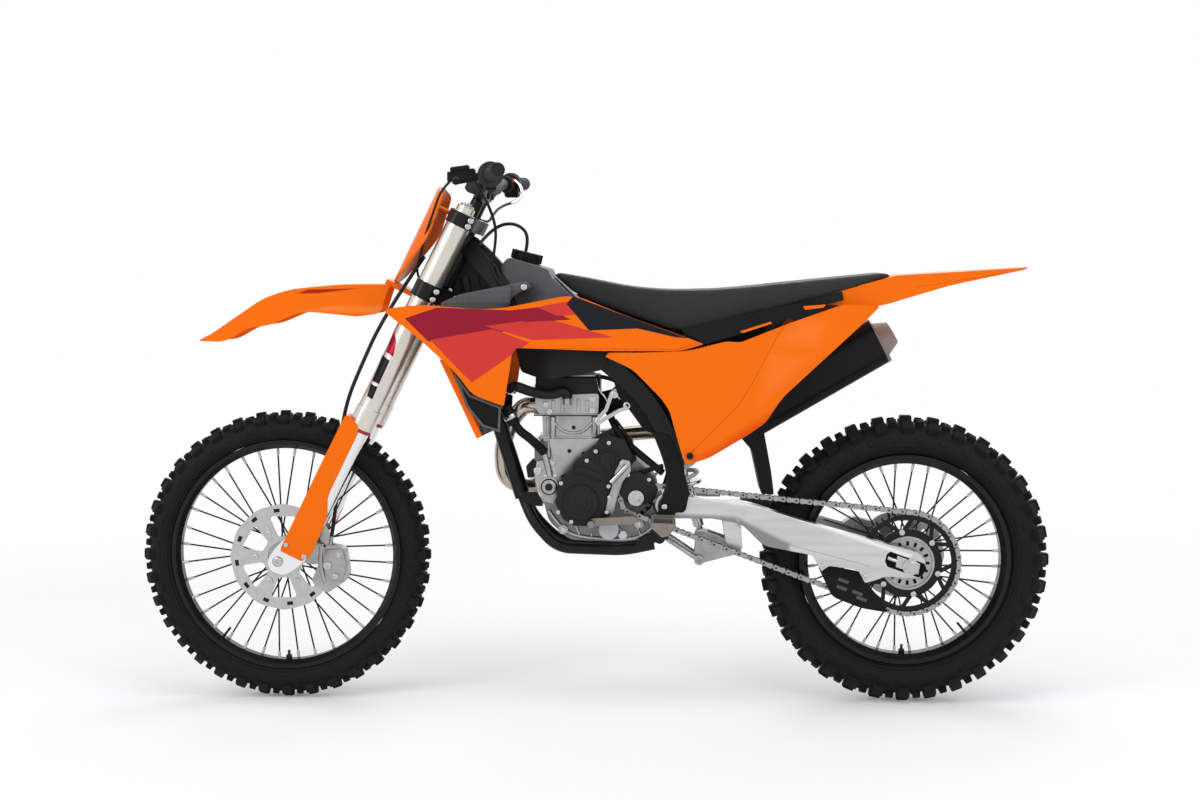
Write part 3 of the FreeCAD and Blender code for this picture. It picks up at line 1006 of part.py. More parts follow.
def make_shrouds():
    shroud_shares = [(0.0, 0.87, 0.4), (0.11, 0.91, 0.5), (0.34, 0.86, 0.6), (0.59, 1.0, 0.6), (0.74, 0.82, 0.6),
                     (1.0, 0.55, 0.2), (0.92, 0.485, 0.3), (0.67, 0.49, 0.3), (0.415, 0.52, 0.3),
                     (0.40, 0.46, 0.4), (0.375, 0.0, 0.3), (0.36, 0.01, 0.4), (0.28, 0.10, 0.5),
                     (0.225, 0.31, 0.6), (0.115, 0.61, 0.6)]
    outline = side_prism(shroud_shares, s.shroud_x, s.shroud_z, s.shroud_length, s.shroud_height,
                         -2 * s.shroud_side, 0)
    feature("shrouds", pair_of(outline.common(shroud_band(0, s.shroud_wall))))

def make_side_panels():
    panel_shares = [(0.0, 0.675, 0.4), (0.012, 0.7, 0.4), (0.13, 0.7), (0.3, 0.71, 0.5), (0.44, 0.77, 0.4),
                    (0.495, 0.765, 0.5), (0.665, 0.88, 0.4), (0.866, 1.0, 0.4), (1.0, 0.99, 0.2),
                    (0.94, 0.885, 0.5), (0.646, 0.42, 0.6), (0.587, 0.267, 0.5), (0.523, 0.19, 0.4),
                    (0.38, 0.045, 0.5), (0.295, 0.0, 0.4), (0.28, 0.07, 0.4), (0.235, 0.34, 0.6),
                    (0.206, 0.413, 0.6), (0.10, 0.595, 0.5)]
    near = -s.panel_side
    left = side_prism(panel_shares, s.panel_x, s.panel_z, s.panel_length, s.panel_height, near,
                      near + s.panel_wall)
    right = left.mirror(Vector(0, 0, 0), ACROSS)
    wide = 2 * s.silencer_width
    header_room = Part.makeBox(s.silencer_x - s.panel_x + s.overrun, wide,
                               s.mid_pipe_z + s.header_radius + s.free_gap - s.panel_z + s.overrun,
                               at(s.panel_x - s.overrun, s.panel_z - s.overrun, s.silencer_side - wide / 2))
    length = math.hypot(s.silencer_run, s.silencer_climb)
    tall = 4 * s.silencer_height
    silencer_room = Part.makeBox(2 * length, wide, tall,
                                 Vector(-s.end_cap_length * 2.5, -wide / 2, s.silencer_height / 2 + s.free_gap - tall))
    silencer_room.Placement = silencer_frame().multiply(silencer_room.Placement)
    feature("side_panels", Part.makeCompound([left, largest(right.cut([header_room, silencer_room]))]))
    strip_shares = [(0.371, 0.05, 0.3), (0.709, 0.49, 0.2), (0.849, 0.457), (0.715, 0.21, 0.4), (0.678, 0.225, 0.8),
                    (0.514, -0.087, 0.5), (0.448, -0.196, 0.3)]
    far = s.panel_side - s.panel_wall - s.seat_gap
    near = s.rail_side + s.rail_size / 2 + s.seat_gap
    strip = side_prism(strip_shares, s.seat_x, s.seat_z, s.seat_length, s.seat_rise, -far, -near)
    seat_room = seat_solid()
    seat_room.translate(Vector(0, 0, -s.seat_gap))
    feature("grab_strips", pair_of(largest(strip.cut(seat_room))))

def airbox_solid():
    shares = [(0.0, 0.35, 0.4), (0.1, 0.18, 0.4), (0.5, 0.01, 0.4), (0.62, 0.0, 0.3), (0.82, 0.13, 0.3),
              (1.0, 0.4, 0.4), (1.0, 1.0, 0.2), (0.0, 0.92, 0.2)]
    half = s.rail_side - s.rail_size / 2 - s.seat_gap
    box = side_prism(shares, s.airbox_x, s.airbox_z, s.airbox_length, s.airbox_height, -half, half)
    seat_room = seat_solid()
    seat_room.translate(Vector(0, 0, -s.seat_gap))
    return largest(box.cut(seat_room))

def make_tail():
    tail_x = s.seat_x + s.seat_length * 0.7127
    tail_z = s.seat_z + s.seat_rise * 0.4
    tail_shares = [(0.0, 0.16), (0.36, 0.70), (0.42, 0.80, 0.4), (1.0, 1.0, 0.1), (0.985, 0.95, 0.4),
                   (0.89, 0.84, 0.4), (0.66, 0.57, 0.5), (0.51, 0.32, 0.5), (0.36, 0.06, 0.5), (0.2, 0.06, 0.4),
                   (0.0, 0.10)]
    width_shares = [(0.0, 0.84, 0), (0.3, 1.0, 0.8), (0.7, 0.86, 0.8), (0.95, 0.62, 0.8), (1.0, 0.4, 0.9)]
    half = [(tail_x + s.tail_length * share[0], s.tail_width / 2 * share[1], share[2]) for share in width_shares]
    shell = arched_shell(tail_shares, tail_x, tail_z, s.tail_length, s.tail_height, half, s.skin, s.skin * 2)
    seat_room = seat_solid()
    seat_room.translate(Vector(0, 0, -s.seat_gap))
    size = s.rail_size + 2 * s.seat_gap
    rail_rooms = [seat_rail(side, size) for side in (-s.rail_side, s.rail_side)]
    feature("rear_fender", largest(shell.cut([seat_room] + rail_rooms)))
    flap_shares = [(0.0, 0.64, 0.3), (0.04, 0.58, 0.3), (0.3, 0.46, 0.4), (0.55, 0.01, 0.3), (0.88, 0.0, 0.3),
                   (0.80, 0.25, 0.4), (0.58, 0.72, 0.3), (0.60, 1.0), (0.0, 1.0)]
    flap = side_prism(flap_shares, s.wheelbase - s.rear_tyre_radius - s.flap_lead, s.rear_tyre_radius + s.flap_rise,
                      s.flap_length, s.flap_height, -s.flap_width / 2, s.flap_width / 2)
    room = airbox_solid()
    under = room.copy()
    under.translate(Vector(0, 0, -s.seat_gap))
    lower = sorted(flap.cut([room, under]).Solids, key=lambda solid: solid.CenterOfMass.z)[0]
    feature("mud_flap", lower)

def make_airbox():
    feature("airbox", airbox_solid())

LOUVRE_SLOT_COUNT = 5

def radiator_frame():
    """the left radiator's own frame: +X through its core, +Z along its height"""
    return Placement(at(s.radiator_x, s.radiator_z, -s.radiator_inner - s.radiator_width),
                     Rotation(ACROSS, -s.radiator_lean))

def make_radiators():
    width, depth, height = s.radiator_width, s.radiator_depth, s.radiator_height
    lip = s.radiator_tank_lip
    core = Part.makeBox(depth - 2 * lip, width, height, Vector(lip, 0, 0))
    tanks = [Part.makeBox(depth, width, s.radiator_tank_height, Vector(0, 0, low))
             for low in (0, height - s.radiator_tank_height)]
    block = together([core] + tanks)
    block.Placement = radiator_frame()
    inside = -s.radiator_inner - s.overrun
    pins = [rod(on_frame(along, up, inside), on_frame(along, up, 0), s.radiator_pin_radius)
            for along, up in ((0.172, 0.492), (0.21, 0.40))]
    pins = [pin.cut(down_tube(s.down_tube_radius + s.seat_gap)) for pin in pins]
    pins = [sorted(pin.Solids, key=lambda solid: solid.CenterOfMass.y)[0] for pin in pins]
    out = radiator_frame().multVec(Vector(depth * 0.6, s.overrun, height * 0.88))
    boss = rod(out, out - ACROSS * s.radiator_width, s.rail_peg_radius)
    boss = boss.cut(shroud_band(s.shroud_wall + s.seat_gap, -s.shroud_side))
    boss = sorted(boss.Solids, key=lambda solid: solid.CenterOfMass.y)[-1]
    left = together([block, boss] + pins)
    spigot_start = radiator_frame().multVec(Vector(depth - s.overrun, width * 0.76, height * 0.65))
    spigot_end = radiator_frame().multVec(Vector(depth + s.spigot_length, width * 0.76, height * 0.65))
    with_spigot = together([left, rod(spigot_start, spigot_end, s.hose_radius)])
    feature("radiators", Part.makeCompound([with_spigot, left.mirror(Vector(0, 0, 0), ACROSS)]))
    near = s.radiator_inner + s.radiator_width - s.louvre_inner - s.louvre_width
    grille = Part.makeBox(s.louvre_depth, s.louvre_width, s.louvre_height,
                          Vector(-s.louvre_depth - s.seat_gap, near, 0))
    pitch = (s.louvre_height - s.louvre_rim) / LOUVRE_SLOT_COUNT
    slots = [Part.makeBox(s.louvre_depth + 2 * s.overrun, s.louvre_width - 2 * s.louvre_rim, pitch - s.louvre_rim,
                          Vector(-s.louvre_depth - s.seat_gap - s.overrun, near + s.louvre_rim,
                                 s.louvre_rim + pitch * slot)) for slot in range(LOUVRE_SLOT_COUNT)]
    grille = grille.cut(slots)
    grille.Placement = radiator_frame()
    feature("radiator_guards", pair_of(grille))

# Foot controls
def make_foot_controls():
    peg_shares = [(0.0, 0.7), (0.0, 1.0, 0.2), (1.0, 0.94, 0.2), (1.0, 0.66), (0.7, 0.1, 0.5), (0.45, 0.0, 0.5)]
    peg = side_prism(peg_shares, s.peg_x, s.peg_z, s.peg_length, s.peg_height, -s.peg_inner - s.peg_width,
                     -s.peg_inner)
    teeth = side_prism([(0.14, 0.55), (0.86, 0.55), (0.86, 1.2), (0.14, 1.2)], s.peg_x, s.peg_z, s.peg_length,
                       s.peg_height, -s.peg_inner - s.peg_width + s.peg_height / 4, -s.peg_inner - s.peg_height / 4)
    beam_face = s.beam_side + s.beam_width / 2 + s.seat_gap
    bracket = side_prism([(0.1, 0.3, 0.4), (0.9, 0.3, 0.4), (1.0, 1.2, 0.4), (0.0, 1.2, 0.4)], s.peg_x, s.peg_z,
                         s.peg_length, s.peg_height, -s.peg_inner, -beam_face)
    feature("footpegs", pair_of(together([peg.cut(teeth), bracket])))
    shift_shares = [(0.0, 0.5, 0.6), (0.08, 0.1, 0.6), (0.9, 0.4, 0.4), (1.0, 0.9, 0.8), (0.9, 1.3, 0.8),
                    (0.1, 1.0, 0.6)]
    shift = side_prism(shift_shares, s.shift_x, s.shift_z, s.shift_length, s.shift_wall * 2, -s.shift_side,
                       -s.shift_side + s.shift_wall)
    toe_x, toe_z = s.shift_x + s.shift_wall, s.shift_z + s.shift_wall
    toe = across_rod(toe_x, toe_z, -s.shift_side, -s.shift_side - s.shift_wall * 3, s.shift_wall * 0.8)
    shaft = across_rod(s.shift_x + s.shift_length * 0.836, toe_z, -s.shift_side + s.shift_wall / 2,
                       -s.case_width / 2 - s.seat_gap, s.shift_shaft_radius)
    brake = side_prism(shift_shares, s.brake_x, s.brake_z, s.brake_length, s.shift_wall * 2, s.shift_side,
                       s.shift_side + s.shift_wall)
    boss = across_rod(s.brake_x + s.brake_length * 0.8, s.brake_z + s.shift_wall, s.shift_side + s.shift_wall / 2,
                      s.right_cover_side + s.seat_gap, s.shift_wall * 0.8)
    feature("foot_levers", Part.makeCompound([together([shift, toe, shaft]), together([brake, boss])]))

# Rear suspension
def make_swingarm():
    arm_shares = [(0.016, 0.93), (0.28, 0.87, 0.4), (0.48, 0.70, 0.5), (0.75, 0.50, 0.5), (0.97, 0.34, 0.4),
                  (1.0, 0.24, 0.5), (0.98, 0.06, 0.4), (0.83, 0.07, 0.3), (0.79, 0.03, 0.3), (0.75, 0.0, 0.3),
                  (0.72, 0.15, 0.3), (0.60, 0.19, 0.4), (0.57, 0.13, 0.3), (0.53, 0.31, 0.4), (0.33, 0.41, 0.4),
                  (0.24, 0.64, 0.4), (0.09, 0.70, 0.4), (0.0, 0.82)]
    neck_out = -s.arm_neck_side - s.arm_neck_wall
    arm_in = -s.arm_side + s.arm_wall
    plan_shares = [(-0.06, neck_out, 0), (0.15, neck_out, 0.5), (0.33, -s.arm_side, 0.6), (1.01, -s.arm_side, 0),
                   (1.01, arm_in, 0), (0.39, arm_in, 0.6), (0.18, -s.arm_neck_side, 0.5), (-0.06, -s.arm_neck_side, 0)]
    face = [(at(s.arm_x + s.arm_reach * along, s.arm_z - s.overrun, side), roundness)
            for along, side, roundness in plan_shares]
    arm = side_prism(arm_shares, s.arm_x, s.arm_z, s.arm_reach, s.arm_height, -s.arm_side * 2, 0).common(
        prism(face, Vector(0, 0, s.arm_height + 2 * s.overrun)))
    ends = s.beam_side - s.beam_width / 2 - s.seat_gap
    pivot = across_rod(s.pivot_station, s.pivot_height, -ends, ends, s.arm_pivot_radius)
    brace_z = s.pivot_height - s.brace_drop
    brace_end = s.pivot_station + s.brace_lead + s.brace_length
    brace = side_prism([(0, 0), (1, 0), (1, 1), (0, 1)], s.pivot_station, brace_z, brace_end - s.pivot_station,
                       s.brace_height, neck_out, -neck_out)
    bore = across_rod(s.wheelbase, s.rear_tyre_radius, -s.arm_side * 2, s.arm_side * 2, s.rear_axle_radius)
    shock_room = Part.makeBox(s.spring_radius * 3, s.spring_radius * 2, s.brace_height * 3,
                              at(s.pivot_station + s.brace_lead - s.spring_radius * 1.6,
                                 brace_z - s.brace_height, -s.spring_radius))
    rocker = at(s.pivot_station + s.rocker_lead, s.pivot_height - s.rocker_drop)
    inner = s.shock_eye_side + s.rocker_wall + 2 * s.seat_gap
    lugs = []
    for side in (-1, 1):
        near = Vector(0, side * inner, 0)
        eye = rocker + near
        strap = [(at(brace_end - s.brace_height, brace_z + s.brace_height / 2) + near, 0),
                 (at(brace_end, brace_z + s.brace_height / 2) + near, 0),
                 (eye + Vector(s.rocker_hole_radius * 1.6, 0, 0), 0.8),
                 (eye - UPWARD * (s.rocker_hole_radius * 1.6), 0.8),
                 (eye - Vector(s.rocker_hole_radius * 1.6, 0, 0), 0.8)]
        lugs.append(prism(strap, Vector(0, side * s.rocker_wall, 0)))
    hole = rod(rocker - ACROSS * s.arm_side, rocker + ACROSS * s.arm_side, s.rod_radius + s.running_gap)
    shape = together(both_sides(arm) + [pivot, brace] + lugs).cut([bore, shock_room, hole])
    feature("swingarm", largest(shape))

def make_shock_and_link():
    top = at(s.pivot_station - s.shock_top_lead, s.pivot_height + s.shock_top_rise)
    foot = at(s.pivot_station + s.shock_foot_lead, s.pivot_height - s.shock_foot_drop)
    along = foot - top
    damper = rod(top, foot, s.shock_radius * 0.6)
    spring = rod(top + along * 0.16, top + along * 0.66, s.spring_radius)
    collar = rod(top + along * 0.11, top + along * 0.16, s.spring_radius + s.skin)
    eyes = [rod(end - ACROSS * s.shock_eye_side, end + ACROSS * s.shock_eye_side, s.shock_radius * 0.68)
            for end in (top, foot)]
    feature("shock", together([damper, spring, collar] + eyes))
    rocker = at(s.pivot_station + s.rocker_lead, s.pivot_height - s.rocker_drop)
    rod_end = at(s.pivot_station + s.rod_lead, s.pivot_height - s.rod_drop)
    cross = at(s.pivot_station - s.cross_lead, s.pivot_height - s.cross_drop)
    near = s.shock_eye_side + s.seat_gap
    far = near + s.rocker_wall
    hole = s.rocker_hole_radius
    plates = []
    for side in (-1, 1):
        out = Vector(0, side * near, 0)
        outline = [(foot + out + Vector(-hole, 0, hole), 0.8), (foot + out + Vector(hole, 0, hole), 0.8),
                   (rocker + out + Vector(hole, 0, hole), 0.8), (rocker + out + Vector(hole, 0, -hole), 0.8),
                   (rod_end + out + Vector(-hole / 2, 0, -hole), 0.8), (rod_end + out + Vector(-hole, 0, 0), 0.8)]
        plates.append(prism(outline, Vector(0, side * s.rocker_wall, 0)))
    tie = rod(rocker - ACROSS * near, rocker + ACROSS * near, s.arm_pivot_radius * 0.3)
    pin = rod(rocker - ACROSS * (far + s.rocker_wall), rocker + ACROSS * (far + s.rocker_wall), s.rod_radius)
    rod_pin = rod(rod_end - ACROSS * (far + s.overrun), rod_end + ACROSS * (far + s.overrun), s.rod_radius)
    plate_side = far + s.seat_gap + s.rod_radius
    pull = (rod_end - cross).normalize()
    pulls = []
    for side in (-1, 1):
        out = Vector(0, side * plate_side, 0)
        start = cross + out + pull * (s.cradle_radius + s.seat_gap)
        arm = rod(start, rod_end + out, s.rod_radius)
        eye = rod(rod_end + out - ACROSS * s.rod_radius, rod_end + out + ACROSS * s.rod_radius, hole)
        pulls.append(together([arm, eye]))
    pin_room = rod(rod_end - ACROSS * s.arm_side, rod_end + ACROSS * s.arm_side, s.rod_radius + s.running_gap)
    pulls = [piece.cut([pin_room, across_room(cross)]) for piece in pulls]
    feature("linkage", Part.makeCompound([together(plates + [tie, pin, rod_pin])] + pulls))

def across_room(place):
    """room for the frame's lower cross tube"""
    return rod(place - ACROSS * s.arm_side, place + ACROSS * s.arm_side, s.cradle_radius + s.seat_gap)

def make_chain_guide():
    guide_shares = [(0.0, 0.98, 0.3), (0.2, 0.98, 0.4), (0.62, 0.86, 0.4), (0.7, 0.6, 0.4), (1.0, 0.02, 0.3),
                    (0.6, 0.12, 0.4), (0.2, 0.35, 0.4)]
    near = s.chain_side + s.chain_half_width + s.skin / 2
    guide = side_prism(guide_shares, s.wheelbase - s.guide_lead, s.rear_tyre_radius - s.guide_drop,
                       s.guide_length, s.guide_height, s.arm_wall + s.seat_gap - s.arm_side, -near)
    feature("chain_guide", guide)

def make_rear_caliper():
    shares = [(0.0, 0.75, 0.4), (0.1, 0.4, 0.5), (0.7, 0.0, 0.5), (1.0, 0.3, 0.5), (0.9, 0.8, 0.5), (0.3, 1.0, 0.5)]
    x, z = s.wheelbase - s.caliper_lead, s.rear_tyre_radius + s.caliper_rise
    outer = s.arm_side - s.arm_wall - s.seat_gap
    inner = s.rear_disc_side - s.caliper_wall
    block = side_prism(shares, x, z, s.caliper_length, s.caliper_height, inner, outer)
    room = s.disc_wall / 2 + s.skin / 2
    disc_room = across_rod(s.wheelbase, s.rear_tyre_radius, s.rear_disc_side - room, s.rear_disc_side + room,
                           s.rear_disc_radius + s.skin)
    feature("rear_caliper", largest(block.cut(disc_room)))

def make_front_caliper():
    shares = [(0.0, 0.0, 0.5), (0.4, -0.3, 0.5), (1.0, 0.1, 0.5), (0.9, 0.9, 0.5), (0.4, 1.0, 0.5)]
    side = -s.front_disc_side
    room = s.disc_wall / 2 + s.skin / 2
    box = (s.front_caliper_x, s.front_caliper_z, s.front_caliper_length, s.front_caliper_height)
    block = side_prism(shares, *box, side - s.front_caliper_wall, side + s.front_caliper_wall)
    outer = -s.fork_spacing / 2 + s.slider_radius + s.seat_gap
    bracket_shares = [(-0.45, 0.72, 0.4), (-0.45, 1.12, 0.4), (0.3, 1.0, 0.4), (0.5, 0.6), (0.0, 0.45, 0.4)]
    bracket = side_prism(bracket_shares, *box, outer, outer + s.bracket_wall)
    start, end = brake_hose_end()
    along = (end - start).normalize()
    banjo = rod(end + along * s.seat_gap, end + along * s.banjo_length, s.banjo_radius)
    plate_room = across_rod(0, s.front_tyre_radius, side - room, side + room, s.front_disc_radius + s.skin)
    feature("front_caliper", largest(together([block, bracket, banjo]).cut(plate_room)))

# Hoses and cables
def brake_hose_end():
    """the last run of the brake hose, down to its fitting on the caliper"""
    return steered(6, -66, 160), steered(24, -66, 100)

def make_hoses():
    spigot = radiator_frame().multVec(Vector(s.radiator_depth + s.spigot_length + s.seat_gap,
                                             s.radiator_width * 0.76, s.radiator_height * 0.65))
    lead = radiator_frame().multVec(Vector(s.radiator_depth + s.spigot_length * 3.4, s.radiator_width * 0.76,
                                           s.radiator_height * 0.65))
    neck_x, neck_z = neck_place()
    neck_top = neck_z + s.neck_radius * 1.5 + s.seat_gap
    hose = tube([(spigot, 0), (lead, 0.9), (at(566, 766, -90), 0.9), (at(606, 750, -86), 0.9),
                 (at(652, 744, -s.neck_side), 0.9), (at(neck_x, neck_top + s.hose_radius * 2, -s.neck_side), 0.9),
                 (at(neck_x, neck_top, -s.neck_side), 0)], s.hose_radius)
    feature("coolant_hose", hose)
    vent = tube([(at(582.7, 1082.8), 0), (at(592, 1120), 0.9), (at(566, 1148), 0.9), (at(528, 1150), 0.9),
                 (at(492, 1126), 0.9), (at(474, 1098, -44), 0)], s.vent_radius)
    feature("tank_vent_hose", vent)
    brake = tube([(steered(-66, -60, 800), 0), (steered(-88, -96, 640), 0.9), (steered(-84, -98, 480), 0.9),
                  (steered(-80, -84, 410), 0.9), (steered(-62, -62, 330), 0.9), (steered(-24, -61, 230), 0.9),
                  (brake_hose_end()[0], 0.9), (brake_hose_end()[1], 0)], s.cable_radius)
    feature("brake_hose", brake)
    cable = tube([(at(480, 1248, -235), 0), (at(484, 1238, -190), 0.9), (at(504, 1196, -130), 0.9),
                  (at(520, 1140, -84), 0.9), (at(514, 1086, -64), 0.9), (at(502, 1034, -58.5), 0.9),
                  (at(538, 992, -69.6), 0)], s.cable_radius)
    feature("control_cables", cable)
def make_all():
    make_front_wheel()
    make_rear_wheel()
    make_sprockets()
    make_chain()
    make_front_axle()
    make_rear_axle()
    make_fork()
    make_fork_guards()
    make_clamps()
    make_handlebar()
    make_front_fender()
    make_number_plate()
    make_frame()
    make_frame_guards()
    make_subframe()
    make_engine()
    make_exhaust()
    make_tank_and_seat()
    make_shrouds()
    make_side_panels()
    make_tail()
    make_airbox()
    make_radiators()
    make_foot_controls()
    make_swingarm()
    make_shock_and_link()
    make_chain_guide()
    make_rear_caliper()
    make_front_caliper()
    make_hoses()

make_all()
doc.recompute()
for item in doc.Objects:
    if "Invalid" in item.State or "Error" in item.State:
        raise RuntimeError(f"{item.Label} failed: {item.State}")
os.makedirs("parts", exist_ok=True)
for node in NODES:
    shape = node.Shape
    if shape.isNull() or not shape.isValid() or not shape.Solids:
        raise RuntimeError(f"{node.Label} has no valid solid")
    shape.exportStep(f"parts/{node.Label}.step")
    print(node.Label, len(shape.Solids), round(shape.Volume / 1000))
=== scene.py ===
import math

import bpy
from mathutils import Matrix, Vector


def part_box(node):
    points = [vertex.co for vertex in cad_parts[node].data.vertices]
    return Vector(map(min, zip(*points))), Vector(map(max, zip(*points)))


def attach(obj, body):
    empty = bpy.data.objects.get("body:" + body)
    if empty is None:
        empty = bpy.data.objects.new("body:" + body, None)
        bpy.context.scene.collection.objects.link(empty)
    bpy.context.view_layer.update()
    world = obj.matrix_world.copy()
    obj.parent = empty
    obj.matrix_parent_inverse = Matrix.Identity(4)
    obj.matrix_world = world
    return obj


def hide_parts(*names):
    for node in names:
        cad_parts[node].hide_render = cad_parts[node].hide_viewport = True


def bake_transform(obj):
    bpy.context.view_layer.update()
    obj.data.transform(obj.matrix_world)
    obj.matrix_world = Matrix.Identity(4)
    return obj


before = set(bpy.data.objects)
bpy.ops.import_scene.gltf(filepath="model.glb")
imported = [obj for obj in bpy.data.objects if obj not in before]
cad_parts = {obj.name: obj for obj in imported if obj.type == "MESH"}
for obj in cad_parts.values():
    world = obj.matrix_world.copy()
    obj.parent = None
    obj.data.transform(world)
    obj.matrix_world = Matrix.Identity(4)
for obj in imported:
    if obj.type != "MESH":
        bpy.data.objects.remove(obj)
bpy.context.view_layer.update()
print("frame loaded:", len(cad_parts), "nodes")

# places are millimetres: back from the front axle, up from the ground, and out to the right
riderSpot = {"station": 950, "height": 991}
rake = math.radians(26.1)
steeringFoot = (53.9, 323.6)
frontAxle = (0, 350)
rearAxle = (1493, 346)
left, right = (0, -1, 0), (0, 1, 0)
sideways = (math.radians(90), 0, 0)


def at(station, height, side=0):
    return Vector((station - riderSpot["station"], side, height - riderSpot["height"])) / 1000


def onFork(back, side, up):
    station = steeringFoot[0] + back * math.cos(rake) + up * math.sin(rake)
    height = steeringFoot[1] - back * math.sin(rake) + up * math.cos(rake)
    return at(station, height, side)


def aroundAxle(axle, radius, degrees, side=0, flat=1):
    angle = math.radians(degrees)
    return at(axle[0] + radius * math.cos(angle), axle[1] + radius * flat * math.sin(angle), side)


def turnRound(axle, angle):
    centre = at(*axle)
    return Matrix.Translation(centre) @ Matrix.Rotation(angle, 4, "Y") @ Matrix.Translation(-centre)


def boxSide(nodeName, sign):
    low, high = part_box(nodeName)
    return (high.y if sign > 0 else low.y) * 1000


def addNode(tree, kind, sockets, **settings):
    # a shader node with its settings made and each socket set or linked
    node = tree.nodes.new("ShaderNode" + kind)
    for setting, value in settings.items():
        setattr(node, setting, value)
    for socket, value in sockets.items():
        if isinstance(value, bpy.types.NodeSocket):
            tree.links.new(value, node.inputs[socket])
        else:
            node.inputs[socket].default_value = value
    return node


def addMath(tree, operation, *values):
    return addNode(tree, "Math", dict(enumerate(values)), operation=operation).outputs["Value"]


# camera, floor and light

cameraLook = {"station": 895, "away": -4438, "height": 1076, "pan": 1.73, "tilt": 4.5, "lens": 55.47,
              "sensorWidth": 36, "clipEnd": 200}
studioLook = {
    "floorSize": 60, "floorColour": (0.93, 0.93, 0.93, 1), "floorRoughness": 0.85, "floorSpecular": 0.1,
    "backdropColour": (1, 1, 1, 1), "worldColour": (0.9, 0.92, 0.95, 1), "worldLight": 0.50,
    "floorLift": 0.16, "fadeStart": 1.5, "fadeEnd": 3.4, "aim": (0, 0, -0.3),
    "lamps": [("top", (0.3, -0.6, 3.2), 2.6, 48), ("front", (-3.2, -2.6, 1.6), 1.8, 44),
              ("side", (2.4, -3.6, 1.9), 1.6, 34), ("far", (0.6, 3.4, 2.0), 3.0, 44)],
}


def addCamera(look):
    bpy.ops.object.camera_add(location=at(look["station"], look["height"], look["away"]),
                              rotation=(math.radians(90 - look["tilt"]), 0, math.radians(look["pan"])))
    camera = bpy.context.object
    camera.data.lens = look["lens"]
    camera.data.sensor_width = look["sensorWidth"]
    camera.data.clip_end = look["clipEnd"]
    bpy.context.scene.camera = camera


def seenRays(tree):
    # one where a ray of the camera, of a gloss or of glass meets the background
    rays = addNode(tree, "LightPath", {}).outputs
    either = addMath(tree, "MAXIMUM", rays["Is Camera Ray"], rays["Is Glossy Ray"])
    return addMath(tree, "MAXIMUM", either, rays["Is Transmission Ray"])


def addFloor(look):
    bpy.ops.mesh.primitive_plane_add(size=look["floorSize"], location=(0, 0, -riderSpot["height"] / 1000))
    floor = bpy.context.object
    floor.name = "studio_floor"
    bpy.ops.object.transform_apply(location=True, rotation=True, scale=True)
    paint = bpy.data.materials.new("palePaper")
    paint.use_nodes = True
    tree = paint.node_tree
    shader = tree.nodes["Principled BSDF"]
    shader.inputs["Base Color"].default_value = look["floorColour"]
    shader.inputs["Roughness"].default_value = look["floorRoughness"]
    shader.inputs["Specular IOR Level"].default_value = look["floorSpecular"]
    # the floor reads as white where no shadow falls
    share = addMath(tree, "MULTIPLY", seenRays(tree), look["floorLift"])
    lift = addNode(tree, "Emission", {"Color": look["backdropColour"], "Strength": share})
    lifted = addNode(tree, "AddShader", {0: shader.outputs["BSDF"], 1: lift.outputs["Emission"]})
    # the shaded floor gives way to the white backdrop
    place = addNode(tree, "TexCoord", {}).outputs["Object"]
    far = addNode(tree, "VectorMath", {0: place}, operation="LENGTH").outputs["Value"]
    fade = addNode(tree, "MapRange", {"Value": far, "From Min": look["fadeStart"],
                                      "From Max": look["fadeEnd"]})
    glow = addNode(tree, "Emission", {"Color": look["backdropColour"]})
    mix = addNode(tree, "MixShader", {0: fade.outputs["Result"], 1: lifted.outputs["Shader"],
                                      2: glow.outputs["Emission"]})
    tree.links.new(mix.outputs["Shader"], tree.nodes["Material Output"].inputs["Surface"])
    floor.data.materials.append(paint)


def addAir(look):
    world = bpy.data.worlds.new("studioAir")
    world.use_nodes = True
    bpy.context.scene.world = world
    tree = world.node_tree
    air = tree.nodes["Background"]
    air.inputs["Color"].default_value = look["worldColour"]
    air.inputs["Strength"].default_value = look["worldLight"]
    seen = addNode(tree, "Background", {"Color": look["backdropColour"]})
    pick = addNode(tree, "MixShader", {0: seenRays(tree), 1: air.outputs["Background"],
                                       2: seen.outputs["Background"]})
    tree.links.new(pick.outputs["Shader"], tree.nodes["World Output"].inputs["Surface"])


def addLamps(look):
    for name, spot, size, power in look["lamps"]:
        aim = Vector(look["aim"]) - Vector(spot)
        bpy.ops.object.light_add(type="AREA", location=spot, rotation=aim.to_track_quat("-Z", "Y").to_euler())
        lamp = bpy.context.object
        lamp.name = "lamp_" + name
        lamp.data.size = size
        lamp.data.energy = power


addCamera(cameraLook)
addFloor(studioLook)
addAir(studioLook)
addLamps(studioLook)
bpy.context.scene.view_settings.view_transform = "Standard"
print("camera, floor and lamps placed")


# finishes: mottle is (share, scale) of a slow change in colour and shine, grain is (depth in mm, scale),
# and edge is the width in mm over which the light rounds a hard edge

